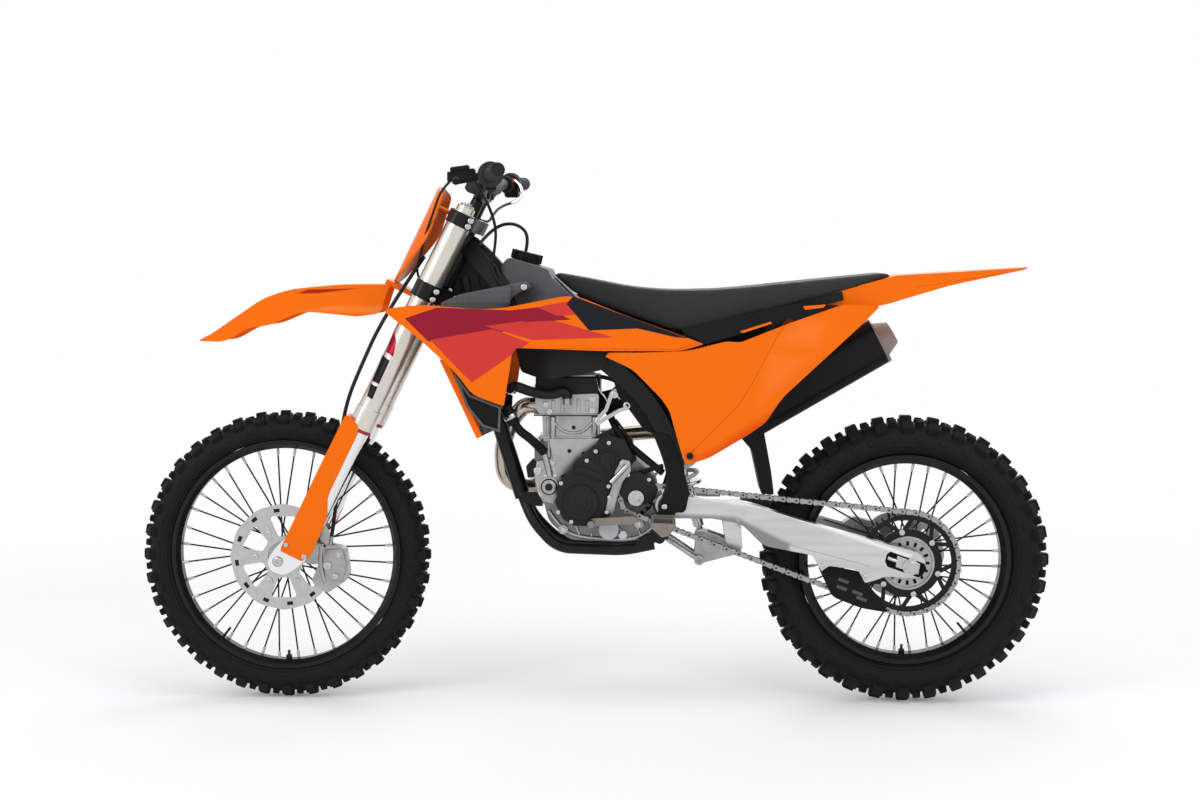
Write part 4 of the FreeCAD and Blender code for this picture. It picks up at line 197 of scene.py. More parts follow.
finishDefaults = {"metallic": 0, "specular": 0.5, "coat": 0, "coatRoughness": 0.12, "sheen": 0,
                  "mottle": (0.3, 30), "grain": (0.05, 900), "stretch": (1, 1, 1), "edge": 0}
finishDetail = {"cloud": 4, "grain": 2, "grainStrength": 0.6, "edgeSamples": 4, "paler": 0.5,
                "shine": (0.82, 1.2)}
finishLooks = {
    "orangeGloss": {"colour": (0.98, 0.165, 0.0), "roughness": 0.3, "specular": 0.12, "coat": 0.02,
                    "mottle": (0.05, 7), "edge": 1.2},
    "blackPlastic": {"colour": (0.0085, 0.0085, 0.009), "roughness": 0.5, "specular": 0.12,
                     "grain": (0.12, 1300), "edge": 1.0},
    "greyPlastic": {"colour": (0.105, 0.107, 0.113), "roughness": 0.48, "specular": 0.18,
                    "mottle": (0.2, 22), "grain": (0.12, 1200), "edge": 1.2},
    "framePaint": {"colour": (0.008, 0.008, 0.009), "roughness": 0.33, "specular": 0.15, "coat": 0.1,
                   "mottle": (0.25, 14), "grain": (0.04, 700), "edge": 1.2},
    "castSilver": {"colour": (0.42, 0.42, 0.415), "roughness": 0.36, "metallic": 0.95, "mottle": (0.45, 26),
                   "grain": (0.3, 620), "edge": 1.6},
    "caseAlloy": {"colour": (0.19, 0.19, 0.188), "roughness": 0.38, "metallic": 0.9, "mottle": (0.5, 34),
                  "grain": (0.3, 620), "edge": 1.6},
    "darkCasting": {"colour": (0.015, 0.015, 0.016), "roughness": 0.42, "metallic": 0.1, "specular": 0.2,
                    "grain": (0.22, 800), "edge": 1.4},
    "brushedArm": {"colour": (0.62, 0.62, 0.625), "roughness": 0.3, "metallic": 1.0, "mottle": (0.34, 60),
                   "stretch": (0.06, 1, 1), "edge": 1.5},
    "machined": {"colour": (0.5, 0.5, 0.495), "roughness": 0.25, "metallic": 1.0, "mottle": (0.12, 90),
                 "grain": (0.03, 1400), "edge": 0.8},
    "forkTube": {"colour": (0.68, 0.64, 0.58), "roughness": 0.24, "metallic": 0.85, "mottle": (0.08, 40),
                 "grain": (0.02, 1500), "stretch": (1, 1, 0.1), "edge": 1.0},
    "chromeRod": {"colour": (0.8, 0.8, 0.81), "roughness": 0.08, "metallic": 1.0, "mottle": (0.05, 30),
                  "grain": (0.01, 900)},
    "warmSteel": {"colour": (0.25, 0.228, 0.198), "roughness": 0.36, "metallic": 0.95, "mottle": (0.25, 50),
                  "grain": (0.12, 1000), "edge": 1.0},
    "headerSteel": {"colour": (0.52, 0.455, 0.375), "roughness": 0.2, "metallic": 1.0, "mottle": (0.3, 16),
                    "grain": (0.03, 900)},
    "mattSilencer": {"colour": (0.01, 0.01, 0.011), "roughness": 0.42, "metallic": 0.1, "specular": 0.15,
                     "mottle": (0.3, 20), "grain": (0.06, 1500), "edge": 1.6},
    "tyreRubber": {"colour": (0.011, 0.011, 0.0115), "roughness": 0.62, "specular": 0.12,
                   "mottle": (0.45, 34), "grain": (0.25, 500)},
    "hoseRubber": {"colour": (0.012, 0.012, 0.013), "roughness": 0.4, "specular": 0.2, "mottle": (0.3, 60),
                   "grain": (0.05, 1200)},
    "gripRubber": {"colour": (0.035, 0.035, 0.037), "roughness": 0.66, "specular": 0.2, "mottle": (0.3, 60),
                   "grain": (0.2, 1300)},
    "rimBlack": {"colour": (0.007, 0.007, 0.008), "roughness": 0.26, "metallic": 0.1, "specular": 0.2,
                 "coat": 0.06, "mottle": (0.2, 24), "grain": (0.02, 900)},
    "discSteel": {"colour": (0.52, 0.515, 0.505), "roughness": 0.3, "metallic": 1.0, "mottle": (0.25, 70),
                  "grain": (0.05, 1600), "edge": 0.5},
    "chainSteel": {"colour": (0.38, 0.375, 0.365), "roughness": 0.34, "metallic": 0.95, "mottle": (0.4, 90),
                   "grain": (0.06, 1500)},
    "chainDark": {"colour": (0.07, 0.068, 0.064), "roughness": 0.4, "metallic": 0.9, "mottle": (0.4, 90),
                  "grain": (0.06, 1500)},
    "springWhite": {"colour": (0.74, 0.74, 0.73), "roughness": 0.3, "coat": 0.3, "mottle": (0.06, 30),
                    "grain": (0.03, 900)},
    "seatCover": {"colour": (0.03, 0.03, 0.032), "roughness": 0.62, "specular": 0.18, "sheen": 0.15,
                  "mottle": (0.25, 40), "grain": (0.15, 1500)},
    "darkGap": {"colour": (0.004, 0.004, 0.005), "roughness": 0.6, "specular": 0.08, "mottle": (0.3, 40),
                "grain": (0.08, 900)},
    "palePlug": {"colour": (0.5, 0.52, 0.55), "roughness": 0.35, "mottle": (0.1, 60), "edge": 0.8},
    "sealRed": {"colour": (0.45, 0.012, 0.02), "roughness": 0.4, "mottle": (0.15, 60),
                "grain": (0.03, 900)},
    "radiatorCore": {"colour": (0.1, 0.1, 0.105), "roughness": 0.42, "metallic": 0.8, "mottle": (0.3, 60),
                     "grain": (0.15, 900)},
    "zincBolt": {"colour": (0.54, 0.55, 0.57), "roughness": 0.28, "metallic": 1.0, "mottle": (0.2, 200),
                 "grain": (0.02, 1800)},
}


def newFinish(name, changes):
    look, detail = {**finishDefaults, **changes}, finishDetail
    mottle, cloudScale = look["mottle"]
    grain, grainScale = look["grain"]
    dull, bright = detail["shine"]
    finish = bpy.data.materials.new(name)
    finish.use_nodes = True
    tree = finish.node_tree
    shader = tree.nodes["Principled BSDF"]
    for socket, key in (("Metallic", "metallic"), ("Coat Weight", "coat"), ("Sheen Weight", "sheen"),
                        ("Coat Roughness", "coatRoughness"), ("Specular IOR Level", "specular")):
        shader.inputs[socket].default_value = look[key]
    place = addNode(tree, "TexCoord", {}, name="place").outputs["Object"]
    lay = addNode(tree, "Mapping", {"Vector": place, "Scale": look["stretch"]}).outputs["Vector"]
    cloud = addNode(tree, "TexNoise", {"Vector": lay, "Scale": cloudScale, "Detail": detail["cloud"]})
    dark = [part * (1 - mottle) for part in look["colour"]]
    light = [min(1, part * (1 + mottle * detail["paler"])) for part in look["colour"]]
    tone = addNode(tree, "Mix", {0: cloud.outputs["Fac"], 6: (*dark, 1), 7: (*light, 1)}, data_type="RGBA")
    tree.links.new(tone.outputs[2], shader.inputs["Base Color"])
    shine = addNode(tree, "MapRange", {"Value": cloud.outputs["Fac"], "To Min": look["roughness"] * dull,
                                       "To Max": min(1, look["roughness"] * bright)})
    tree.links.new(shine.outputs["Result"], shader.inputs["Roughness"])
    fine = addNode(tree, "TexNoise", {"Vector": lay, "Scale": grainScale, "Detail": detail["grain"]})
    bump = addNode(tree, "Bump", {"Height": fine.outputs["Fac"], "Strength": detail["grainStrength"],
                                  "Distance": grain / 1000})
    if look["edge"]:
        worn = addNode(tree, "Bevel", {"Radius": look["edge"] / 1000}, samples=detail["edgeSamples"])
        tree.links.new(worn.outputs["Normal"], bump.inputs["Normal"])
    tree.links.new(bump.outputs["Normal"], shader.inputs["Normal"])
    return finish


finishes = {name: newFinish(name, look) for name, look in finishLooks.items()}


def copyFinish(source, name):
    finishes[name] = finishes[source].copy()
    finishes[name].name = name
    return finishes[name]


def mathNode(finish, operation, *values):
    return addMath(finish.node_tree, operation, *values)


def splitPlace(finish):
    tree = finish.node_tree
    if "split" not in tree.nodes:
        addNode(tree, "SeparateXYZ", {"Vector": tree.nodes["place"].outputs["Object"]}, name="split")
    return tree.nodes["split"].outputs


def layColour(finish, colour, mask):
    tree = finish.node_tree
    base = tree.nodes["Principled BSDF"].inputs["Base Color"]
    over = addNode(tree, "Mix", {0: mask, 6: base.links[0].from_socket, 7: (*colour, 1)}, data_type="RGBA")
    tree.links.new(over.outputs[2], base)


def laySoft(finish, colour, reach, soft):
    # colour where reach is above nothing, over an edge as soft as the millimetres given
    sharp = mathNode(finish, "MULTIPLY", reach, 1000 / soft)
    layColour(finish, colour, mathNode(finish, "MINIMUM", mathNode(finish, "MAXIMUM", sharp, 0), 1))


def pastLine(finish, spot, way):
    # how far a point lies past a line drawn on the bike's side, in metres
    split = splitPlace(finish)
    part = mathNode(finish, "MULTIPLY_ADD", split["Z"], way.z, -way.dot(spot))
    return mathNode(finish, "MULTIPLY_ADD", split["X"], way.x, part)


def insideShape(finish, corners):
    # how far a point lies inside a flat convex outline drawn on the bike's side, in metres
    spots = [at(*corner) for corner in corners]
    turn = sum(a.x * b.z - b.x * a.z for a, b in zip(spots, spots[1:] + spots[:1]))
    if turn < 0:
        spots.reverse()
    reach = None
    for start, end in zip(spots, spots[1:] + spots[:1]):
        edge = end - start
        part = pastLine(finish, start, Vector((-edge.z, 0, edge.x)).normalized())
        reach = part if reach is None else mathNode(finish, "MINIMUM", reach, part)
    return reach


def paintShape(finish, colour, corners, soft=0.8):
    laySoft(finish, colour, insideShape(finish, corners), soft)


def paintLine(finish, colour, points, width=1.6):
    for start, end in zip(points, points[1:]):
        along = (Vector(end) - Vector(start)).normalized() * width * 0.4
        across = Vector((-along.y, along.x)) / 0.8
        start, end = Vector(start) - along, Vector(end) + along
        paintShape(finish, colour, [start + across, end + across, end - across, start - across], 0.5)


def paintBeyond(finish, colour, corner, direction, soft=0.8):
    way = Vector((direction[0], 0, direction[1])).normalized()
    laySoft(finish, colour, pastLine(finish, at(*corner), way), soft)


def distanceFromAxle(finish, axle):
    split = splitPlace(finish)
    spot = at(*axle)
    dx = mathNode(finish, "SUBTRACT", split["X"], spot.x)
    dz = mathNode(finish, "SUBTRACT", split["Z"], spot.z)
    square = mathNode(finish, "MULTIPLY_ADD", dx, dx, mathNode(finish, "MULTIPLY", dz, dz))
    return mathNode(finish, "SQRT", square)


def ringMask(finish, axle, inner, outer):
    reach = distanceFromAxle(finish, axle)
    over = mathNode(finish, "GREATER_THAN", reach, inner / 1000)
    under = mathNode(finish, "LESS_THAN", reach, outer / 1000)
    return mathNode(finish, "MULTIPLY", over, under)


def pressHeight(finish, height, depth):
    # a second bump on top of the grain, depth in millimetres
    tree = finish.node_tree
    normal = tree.nodes["Principled BSDF"].inputs["Normal"]
    bump = addNode(tree, "Bump", {"Strength": 1, "Distance": depth / 1000, "Height": height,
                                  "Normal": normal.links[0].from_socket})
    tree.links.new(bump.outputs["Normal"], normal)


def pressDots(finish, scale, randomness, depth):
    tree = finish.node_tree
    place = tree.nodes["place"].outputs["Object"]
    dots = addNode(tree, "TexVoronoi", {"Vector": place, "Scale": scale, "Randomness": randomness})
    pressHeight(finish, dots.outputs["Distance"], depth)


def ribWave(finish, axis, spacing):
    turn = mathNode(finish, "MULTIPLY", splitPlace(finish)[axis], 2 * math.pi * 1000 / spacing)
    return mathNode(finish, "SINE", turn)


# the side graphics: slanted bars in crimson and coral that end in a dark wedge
graphics = {
    "crimson": (0.30, 0.010, 0.030), "coral": (0.66, 0.045, 0.035), "dark": (0.010, 0.011, 0.015),
    "orange": (0.98, 0.165, 0.0), "wireEnd": (0.62, 0.62, 0.62),
    "shroud": [("crimson", [(318, 930), (392, 955), (560, 948), (640, 930), (500, 884), (372, 876)]),
               ("coral", [(372, 880), (520, 905), (604, 873), (470, 780), (440, 812)]),
               ("coral", [(500, 912), (640, 930), (800, 884), (610, 878)]),
               ("crimson", [(560, 948), (640, 957), (700, 925), (590, 920)]),
               ("coral", [(618, 955), (700, 970), (740, 938), (668, 934)]),
               ("dark", [(688, 962), (706, 984), (816, 938), (900, 906), (740, 900)]),
               ("dark", [(740, 900), (816, 938), (1009, 868), (940, 884)]),
               ("dark", [(433, 806), (475, 752), (540, 728), (540, 660), (470, 690)])],
    "fork": [("dark", [(252, 842), (272, 828), (246, 772), (228, 780)]),
             ("dark", [(225, 774), (243, 766), (230, 736), (216, 744)]),
             ("crimson", [(280, 902), (288, 872), (280, 836), (262, 848)])],
    "strip": [("orange", [(1088, 898), (1160, 921), (1168, 915), (1100, 893)]),
              ("orange", [(1235, 957), (1290, 961), (1282, 953), (1240, 948)])],
}
# side panels: the soft lighter orange shapes are painted highlights, and the deeper orange on the lower part
# is painted shade
panelHighlightsAndShade = [((1.0, 0.20, 0.02), 30, [(781, 843), (937, 839), (1060, 872), (1020, 880), (855, 822)]),
               ((1.0, 0.20, 0.02), 30, [(1151, 865), (1276, 843), (1310, 930), (1220, 940)]),
               ((1.0, 0.20, 0.02), 30, [(1188, 762), (1276, 843), (1151, 865), (1115, 702)]),
               ((0.80, 0.07, 0.0), 24, [(975, 600), (1130, 700), (1290, 800), (1180, 640), (1000, 560)])]
# front fender: a dark red band of painted shade in the groove under the top ridge, and a paler band of
# painted highlight below it
fenderShadeAndHighlight = [((0.38, 0.018, 0.0), 3, [(9, 974), (73, 995), (278, 999), (277, 985), (96, 983), (38, 976)]),
                ((1.0, 0.23, 0.03), 9, [(38, 941), (113, 958), (270, 958), (244, 932)])]
# swingarm: pale bands of painted highlight along the top edge and grey bands of painted shade along the lower
# edge
armHighlightsAndShade = [((0.86, 0.86, 0.86), 8, [(950, 520), (1152, 496), (1152, 478), (950, 500)]),
             ((0.86, 0.86, 0.86), 8, [(1152, 496), (1500, 376), (1500, 360), (1152, 478)]),
             ((0.25, 0.25, 0.255), 10, [(930, 468), (1090, 462), (1100, 436), (930, 436)]),
             ((0.25, 0.25, 0.255), 10, [(1090, 462), (1215, 402), (1215, 372), (1150, 372), (1080, 436)])]
# thin dark lines of painted shade along creases in the shroud, side panel and rear fender, and along an edge
# of the swingarm
creaseShadeLines = [("shroudGraphicsAndCreaseShade", (0.16, 0.02, 0.0), 1.2, [(566, 858), (763, 858), (948, 856), (1000, 876)]),
           ("panelOrangeHighlightsAndShade", (0.12, 0.015, 0.0), 1.2,
            [(975, 613), (1086, 725), (1111, 763), (1180, 894), (1225, 954)]),
           ("armBrushedHighlightsAndShade", (0.22, 0.22, 0.225), 1.5, [(1150, 408), (1200, 398), (1300, 372), (1400, 346)]),
           ("rearFenderOrangeCreaseShade", (0.12, 0.015, 0.0), 1.0, [(1500, 1000), (1720, 1034)])]

for source, name, part in (("orangeGloss", "shroudGraphicsAndCreaseShade", "shroud"), ("forkTube", "forkGraphics", "fork"),
                           ("blackPlastic", "stripBlack", "strip")):
    paint = copyFinish(source, name)
    for colourName, corners in graphics[part]:
        paintShape(paint, graphics[colourName], corners)
# copies of a finish with soft shapes of painted highlight and painted shade laid on
for source, name, shades in (("orangeGloss", "panelOrangeHighlightsAndShade", panelHighlightsAndShade),
                             ("brushedArm", "armBrushedHighlightsAndShade", armHighlightsAndShade),
                             ("orangeGloss", "frontFenderOrangeShadeAndHighlight", fenderShadeAndHighlight)):
    paint = copyFinish(source, name)
    for colour, soft, corners in shades:
        paintShape(paint, colour, corners, soft)
# the rear fender's copy carries only its painted crease shade
copyFinish("orangeGloss", "rearFenderOrangeCreaseShade")
for name, colour, width, points in creaseShadeLines:
    paintLine(finishes[name], colour, points, width)
paintBeyond(copyFinish("mattSilencer", "silencerWithCap"), (0.30, 0.27, 0.24), (1416, 913), (0.89, 0.46))
paintBeyond(copyFinish("greyPlastic", "tankGrey"), (0.010, 0.010, 0.011), (600, 866), (0, -1))
for name, axle, inner, outer in (("frontSpokeBlack", frontAxle, 241, 262),
                                 ("rearSpokeBlack", rearAxle, 213, 234)):
    paint = copyFinish("rimBlack", name)
    layColour(paint, graphics["wireEnd"], ringMask(paint, axle, inner, outer))

pressDots(copyFinish("seatCover", "seatGripper"), 210, 0.15, -0.9)
pressDots(copyFinish("greyPlastic", "dimpledGrey"), 75, 0.1, -2.0)
for source, name, axis, spacing in (("gripRubber", "ribbedGrip", "Y", 5),
                                    ("radiatorCore", "radiatorFins", "Z", 4)):
    paint = copyFinish(source, name)
    pressHeight(paint, ribWave(paint, axis, spacing), 0.8)
paint = copyFinish("blackPlastic", "ribbedGuard")
strips = [mathNode(paint, "GREATER_THAN", insideShape(paint, corners), 0) for corners in
          ([(884, 708), (904, 700), (934, 608), (914, 600)],
           [(914, 604), (934, 604), (952, 505), (930, 505)])]
strip = mathNode(paint, "MAXIMUM", *strips)
pressHeight(paint, mathNode(paint, "MULTIPLY", ribWave(paint, "Z", 7), strip), 0.45)

discLook = {"slots": 12, "narrow": 0.72, "inner": 109, "outer": 118, "colour": (0.02, 0.02, 0.02)}
paint = copyFinish("discSteel", "slottedDisc")
split = splitPlace(paint)
turned = mathNode(paint, "ARCTAN2", mathNode(paint, "SUBTRACT", split["Z"], at(*frontAxle).z),
                  mathNode(paint, "SUBTRACT", split["X"], at(*frontAxle).x))
wave = mathNode(paint, "SINE", mathNode(paint, "MULTIPLY", turned, discLook["slots"]))
slots = mathNode(paint, "GREATER_THAN", wave, discLook["narrow"])
band = ringMask(paint, frontAxle, discLook["inner"], discLook["outer"])
layColour(paint, discLook["colour"], mathNode(paint, "MULTIPLY", slots, band))

nodeFinishes = {
    "framePaint": "frame_main frame_cradle subframe triple_clamps", "ribbedGuard": "frame_guards",
    "caseAlloy": "engine_crankcase", "darkCasting": "engine_covers handlebar", "chainDark": "front_sprocket",
    "castSilver": "engine_cylinder linkage rear_caliper front_caliper front_hub rear_hub",
    "headerSteel": "exhaust_header", "silencerWithCap": "silencer", "tankGrey": "fuel_tank",
    "blackPlastic": "airbox fuel_cap mud_flap chain_guide hand_levers", "shroudGraphicsAndCreaseShade": "shrouds",
    "panelOrangeHighlightsAndShade": "side_panels", "stripBlack": "grab_strips", "radiatorFins": "radiators",
    "orangeGloss": "radiator_guards fork_guards number_plate", "rearFenderOrangeCreaseShade": "rear_fender",
    "warmSteel": "footpegs foot_levers", "armBrushedHighlightsAndShade": "swingarm", "machined": "rear_axle front_axle",
    "forkGraphics": "fork_tubes", "chromeRod": "fork_sliders", "frontFenderOrangeShadeAndHighlight": "front_fender",
    "ribbedGrip": "grips", "rimBlack": "front_rim rear_rim rear_sprocket", "frontSpokeBlack": "front_spokes",
    "rearSpokeBlack": "rear_spokes", "slottedDisc": "front_disc", "discSteel": "rear_disc",
}
for finishName, nodeNames in nodeFinishes.items():
    for nodeName in nodeNames.split():
        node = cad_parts[nodeName]
        if not node.material_slots:
            node.data.materials.append(finishes[finishName])
        for slot in node.material_slots:
            slot.material = finishes[finishName]
print("finishes laid on the frame's nodes")


# ways of making pieces

def clearSelection():
    if bpy.context.object and bpy.context.object.mode != "OBJECT":
        bpy.ops.object.mode_set(mode="OBJECT")
    bpy.ops.object.select_all(action="DESELECT")


def makeActive(piece):
    clearSelection()
    piece.select_set(True)
    bpy.context.view_layer.objects.active = piece


def settle(piece):
    makeActive(piece)
    bpy.ops.object.transform_apply(location=True, rotation=True, scale=True)


def newest(name):
    # the piece that an operator has just added
    piece = bpy.context.object
    piece.name = name
    settle(piece)
    return piece


def selectAllFaces(piece):
    makeActive(piece)
    bpy.ops.object.mode_set(mode="EDIT")
    bpy.ops.mesh.select_mode(type="FACE")
    bpy.ops.mesh.select_all(action="SELECT")


def closeShell(piece, merge=0):
    # doubles merged within the distance given, and faces turned outwards
    selectAllFaces(piece)
    if merge:
        bpy.ops.mesh.remove_doubles(threshold=merge)
    bpy.ops.mesh.normals_make_consistent(inside=False)
    bpy.ops.object.mode_set(mode="OBJECT")


def pickFaces(piece, wanted):
    selectAllFaces(piece)
    bpy.ops.mesh.select_all(action="DESELECT")
    bpy.ops.object.mode_set(mode="OBJECT")
    for face in piece.data.polygons:
        face.select = bool(wanted(face))
    bpy.ops.object.mode_set(mode="EDIT")


def softenEdges(piece, width, segments=2):
    makeActive(piece)
    modifier = piece.modifiers.new("softEdges", "BEVEL")
    modifier.width = width / 1000
    modifier.segments = segments
    modifier.limit_method = "ANGLE"
    modifier.angle_limit = math.radians(35)
    bpy.ops.object.modifier_apply(modifier="softEdges")


def smoothPiece(piece, angle=35):
    makeActive(piece)
    bpy.ops.object.shade_smooth_by_angle(angle=math.radians(angle))


def copyAt(piece, move):
    twin = piece.copy()
    twin.data = piece.data.copy()
    twin.data.transform(move)
    bpy.context.scene.collection.objects.link(twin)
    return twin


def ringOf(name, piece, axle, count):
    copies = [copyAt(piece, turnRound(axle, 2 * math.pi * turn / count)) for turn in range(1, count)]
    return joinAll(name, [piece] + copies)


def joinAll(name, pieces):
    clearSelection()
    for piece in pieces:
        piece.select_set(True)
    bpy.context.view_layer.objects.active = pieces[0]
    if len(pieces) > 1:
        bpy.ops.object.join()
    whole = bpy.context.object
    whole.name = name
    return whole


def dress(piece, finishName, slotName, *replaced):
    piece.data.materials.clear()
    piece.data.materials.append(finishes[finishName])
    if replaced:
        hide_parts(*replaced)
    return piece


def fit(piece, body, finishName, slotName, *replaced):
    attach(piece, body)
    return dress(piece, finishName, slotName, *replaced)


def fitAll(name, body, finishName, slotName, pieces, *replaced):
    return fit(joinAll(name, pieces), body, finishName, slotName, *replaced)


def addRod(name, start, end, radius, sides=24, edge=0.8):
    along = end - start
    clearSelection()
    bpy.ops.mesh.primitive_cylinder_add(vertices=sides, radius=radius / 1000, depth=along.length,
                                        location=(start + end) / 2,
                                        rotation=along.to_track_quat("Z", "Y").to_euler())
    piece = newest(name)
    if edge:
        softenEdges(piece, edge)
    smoothPiece(piece)
    return piece


def addRound(name, spot, face, deep, radius, sides=32, edge=1.0):
    # a round boss or lid standing out from a side
    return addRod(name, at(*spot, face), at(*spot, face + deep), radius, sides, edge)


def addBlock(name, centre, size, edge=1.5, turn=(0, 0, 0), taper=1):
    clearSelection()
    bpy.ops.mesh.primitive_cube_add(size=1, location=(0, 0, 0), scale=[part / 1000 for part in size])
    piece = newest(name)
    if taper != 1:
        pickFaces(piece, lambda face: face.normal.z > 0.9)
        bpy.ops.transform.resize(value=(taper, taper, 1))
        bpy.ops.object.mode_set(mode="OBJECT")
    if edge:
        softenEdges(piece, edge, 1 if edge < 1.3 else 2)
    piece.rotation_euler = turn
    piece.location = centre
    settle(piece)
    return piece


def thicken(plate, deep, edge, segments=2, rim=0):
    # a flat face gets its depth; a rim leaves its middle open
    selectAllFaces(plate)
    if rim:
        bpy.ops.mesh.inset(thickness=rim / 1000)
        bpy.ops.mesh.delete(type="FACE")
        bpy.ops.mesh.select_all(action="SELECT")
    bpy.ops.mesh.extrude_region_move(TRANSFORM_OT_translate={"value": (0, deep / 1000, 0)})
    closeShell(plate)
    if edge:
        softenEdges(plate, edge, segments)
    smoothPiece(plate)
    return plate


def addDisk(name, axle, side, radius, sides):
    # a flat round face standing square to the axle
    clearSelection()
    bpy.ops.mesh.primitive_circle_add(vertices=sides, radius=radius / 1000, fill_type="NGON",
                                      location=at(*axle, side), rotation=sideways)
    return newest(name)


def addPlate(name, outline, face, deep, edge=1.0, rim=0):
    # a plate drawn by its outline in side view
    sheet = addDisk(name, frontAxle, face, 100, len(outline))
    for vertex, spot in zip(sheet.data.vertices, outline):
        vertex.co = at(*spot, face)
    return thicken(sheet, deep, edge, rim=rim)


def addPair(name, outline, face, deep, edge=1.0, rim=0):
    # the same plate on both sides, each from its face towards the middle
    return [addPlate(name, outline, side * face, -side * deep, edge, rim) for side in (-1, 1)]


def addRing(name, axle, side, wall, inner, outer):
    return thicken(addDisk(name, axle, side - wall / 2, outer, 96), wall, 0.6, 1, outer - inner)


def addTube(name, points, radius, rounds=3):
    line = bpy.data.curves.new(name, "CURVE")
    line.dimensions = "3D"
    spline = line.splines.new("NURBS")
    spline.points.add(len(points) - 1)
    for point, spot in zip(spline.points, points):
        point.co = (*spot, 1)
    spline.order_u = 3
    spline.use_endpoint_u = True
    spline.resolution_u = 10
    line.bevel_depth = radius / 1000
    line.bevel_resolution = rounds
    line.use_fill_caps = True
    tube = bpy.data.objects.new(name, line)
    bpy.context.scene.collection.objects.link(tube)
    makeActive(tube)
    bpy.ops.object.convert(target="MESH")
    bpy.ops.object.shade_smooth()
    return bpy.context.object


# shares of the head's radius
boltLook = {"sides": 18, "height": 0.9, "crown": 0.08, "crownEdge": 0.14, "socketEdge": 0.34,
            "socketDepth": 0.5}


def makeBolt(look):
    # a cap screw of radius one, standing on the floor of its seat, its head along +Z
    clearSelection()
    bpy.ops.mesh.primitive_cylinder_add(vertices=look["sides"], radius=1, depth=look["height"],
                                        location=(0, 0, look["height"] / 2))
    bolt = newest("bolt")
    pickFaces(bolt, lambda face: face.normal.z > 0.9)
    bpy.ops.mesh.inset(thickness=look["crownEdge"])
    bpy.ops.transform.translate(value=(0, 0, look["crown"]))
    bpy.ops.mesh.inset(thickness=look["socketEdge"])
    bpy.ops.mesh.extrude_region_move(TRANSFORM_OT_translate={"value": (0, 0, -look["socketDepth"])})
    bpy.ops.object.mode_set(mode="OBJECT")
    smoothPiece(bolt, 30)
    return bolt


def onFace(face, radius, *spots, way=left):
    # bolts of one size standing on one side face
    return [(at(*spot, face), way, radius) for spot in spots]


def boltRing(axle, circle, face, radius, count, way=left, first=0, flat=1):
    # bolts spaced evenly on a circle
    return [(aroundAxle(axle, circle, first + turn * 360 / count, face, flat), way, radius)
            for turn in range(count)]


def addBolts(name, body, spots, finishName="zincBolt"):
    # spots are (place, direction, head radius in millimetres)
    master = makeBolt(boltLook)
    copies = []
    for place, direction, radius in spots:
        turn = Vector(direction).to_track_quat("Z", "Y").to_matrix().to_4x4()
        copies.append(copyAt(master, Matrix.Translation(place) @ turn @ Matrix.Scale(radius / 1000, 4)))
    bpy.data.objects.remove(master)
    return fitAll(name, body, finishName, "steel", copies)


# tyres

tyreLooks = {
    "front": {"axle": frontAxle, "radius": 350, "lug": 14, "halfWidth": 38.5, "flange": 279.6, "rows": 36,
              "crown": (25, 21), "shoulder": (25, 20), "between": (17, 13), "node": "front_tyre",
              "body": "front_wheel"},
    "rear": {"axle": rearAxle, "radius": 346, "lug": 17, "halfWidth": 51, "flange": 253.6, "rows": 32,
             "crown": (30, 28), "shoulder": (30, 26), "between": (20, 18), "node": "rear_tyre",
             "body": "rear_wheel"},
}
treadLook = {"sink": 4, "bead": 5, "shoulderTilt": 42, "betweenTilt": 24, "flankTilt": 74, "flankHeight": 3.4,
             "wallRing": 22, "ringSpacing": 7, "ringDepth": 0.5, "merge": 0.00005}


def addCarcass(name, look):
    # a filled oval cut off at the rim, left as a wire and spun round the axle
    axleX, axleZ = look["axle"]
    crown = look["radius"] - look["lug"]
    low = look["flange"] - treadLook["bead"]
    clearSelection()
    bpy.ops.mesh.primitive_circle_add(vertices=36, radius=1, fill_type="NGON",
                                      location=at(axleX, axleZ + (crown + low) / 2),
                                      rotation=(0, math.radians(90), 0))
    bpy.context.object.scale = ((crown - low) / 2000, look["halfWidth"] / 1000, 1)
    carcass = newest(name)
    bpy.ops.object.mode_set(mode="EDIT")
    bpy.ops.mesh.select_all(action="SELECT")
    bpy.ops.mesh.bisect(plane_co=at(axleX, axleZ + look["flange"]), plane_no=(0, 0, 1), clear_inner=True)
    bpy.ops.mesh.select_all(action="SELECT")
    bpy.ops.mesh.delete(type="ONLY_FACE")
    bpy.ops.mesh.select_all(action="SELECT")
    bpy.ops.mesh.spin(steps=120, angle=2 * math.pi, center=at(axleX, axleZ), axis=(0, 1, 0))
    closeShell(carcass, treadLook["merge"])
    smoothPiece(carcass, 50)
    return carcass


def addLug(look, name, side, across, up, size, tilt, edge, taper):
    centre = at(look["axle"][0], look["axle"][1] + up, side * across)
    return addBlock(name, centre, size, edge, (-math.radians(tilt) * side, 0, 0), taper)


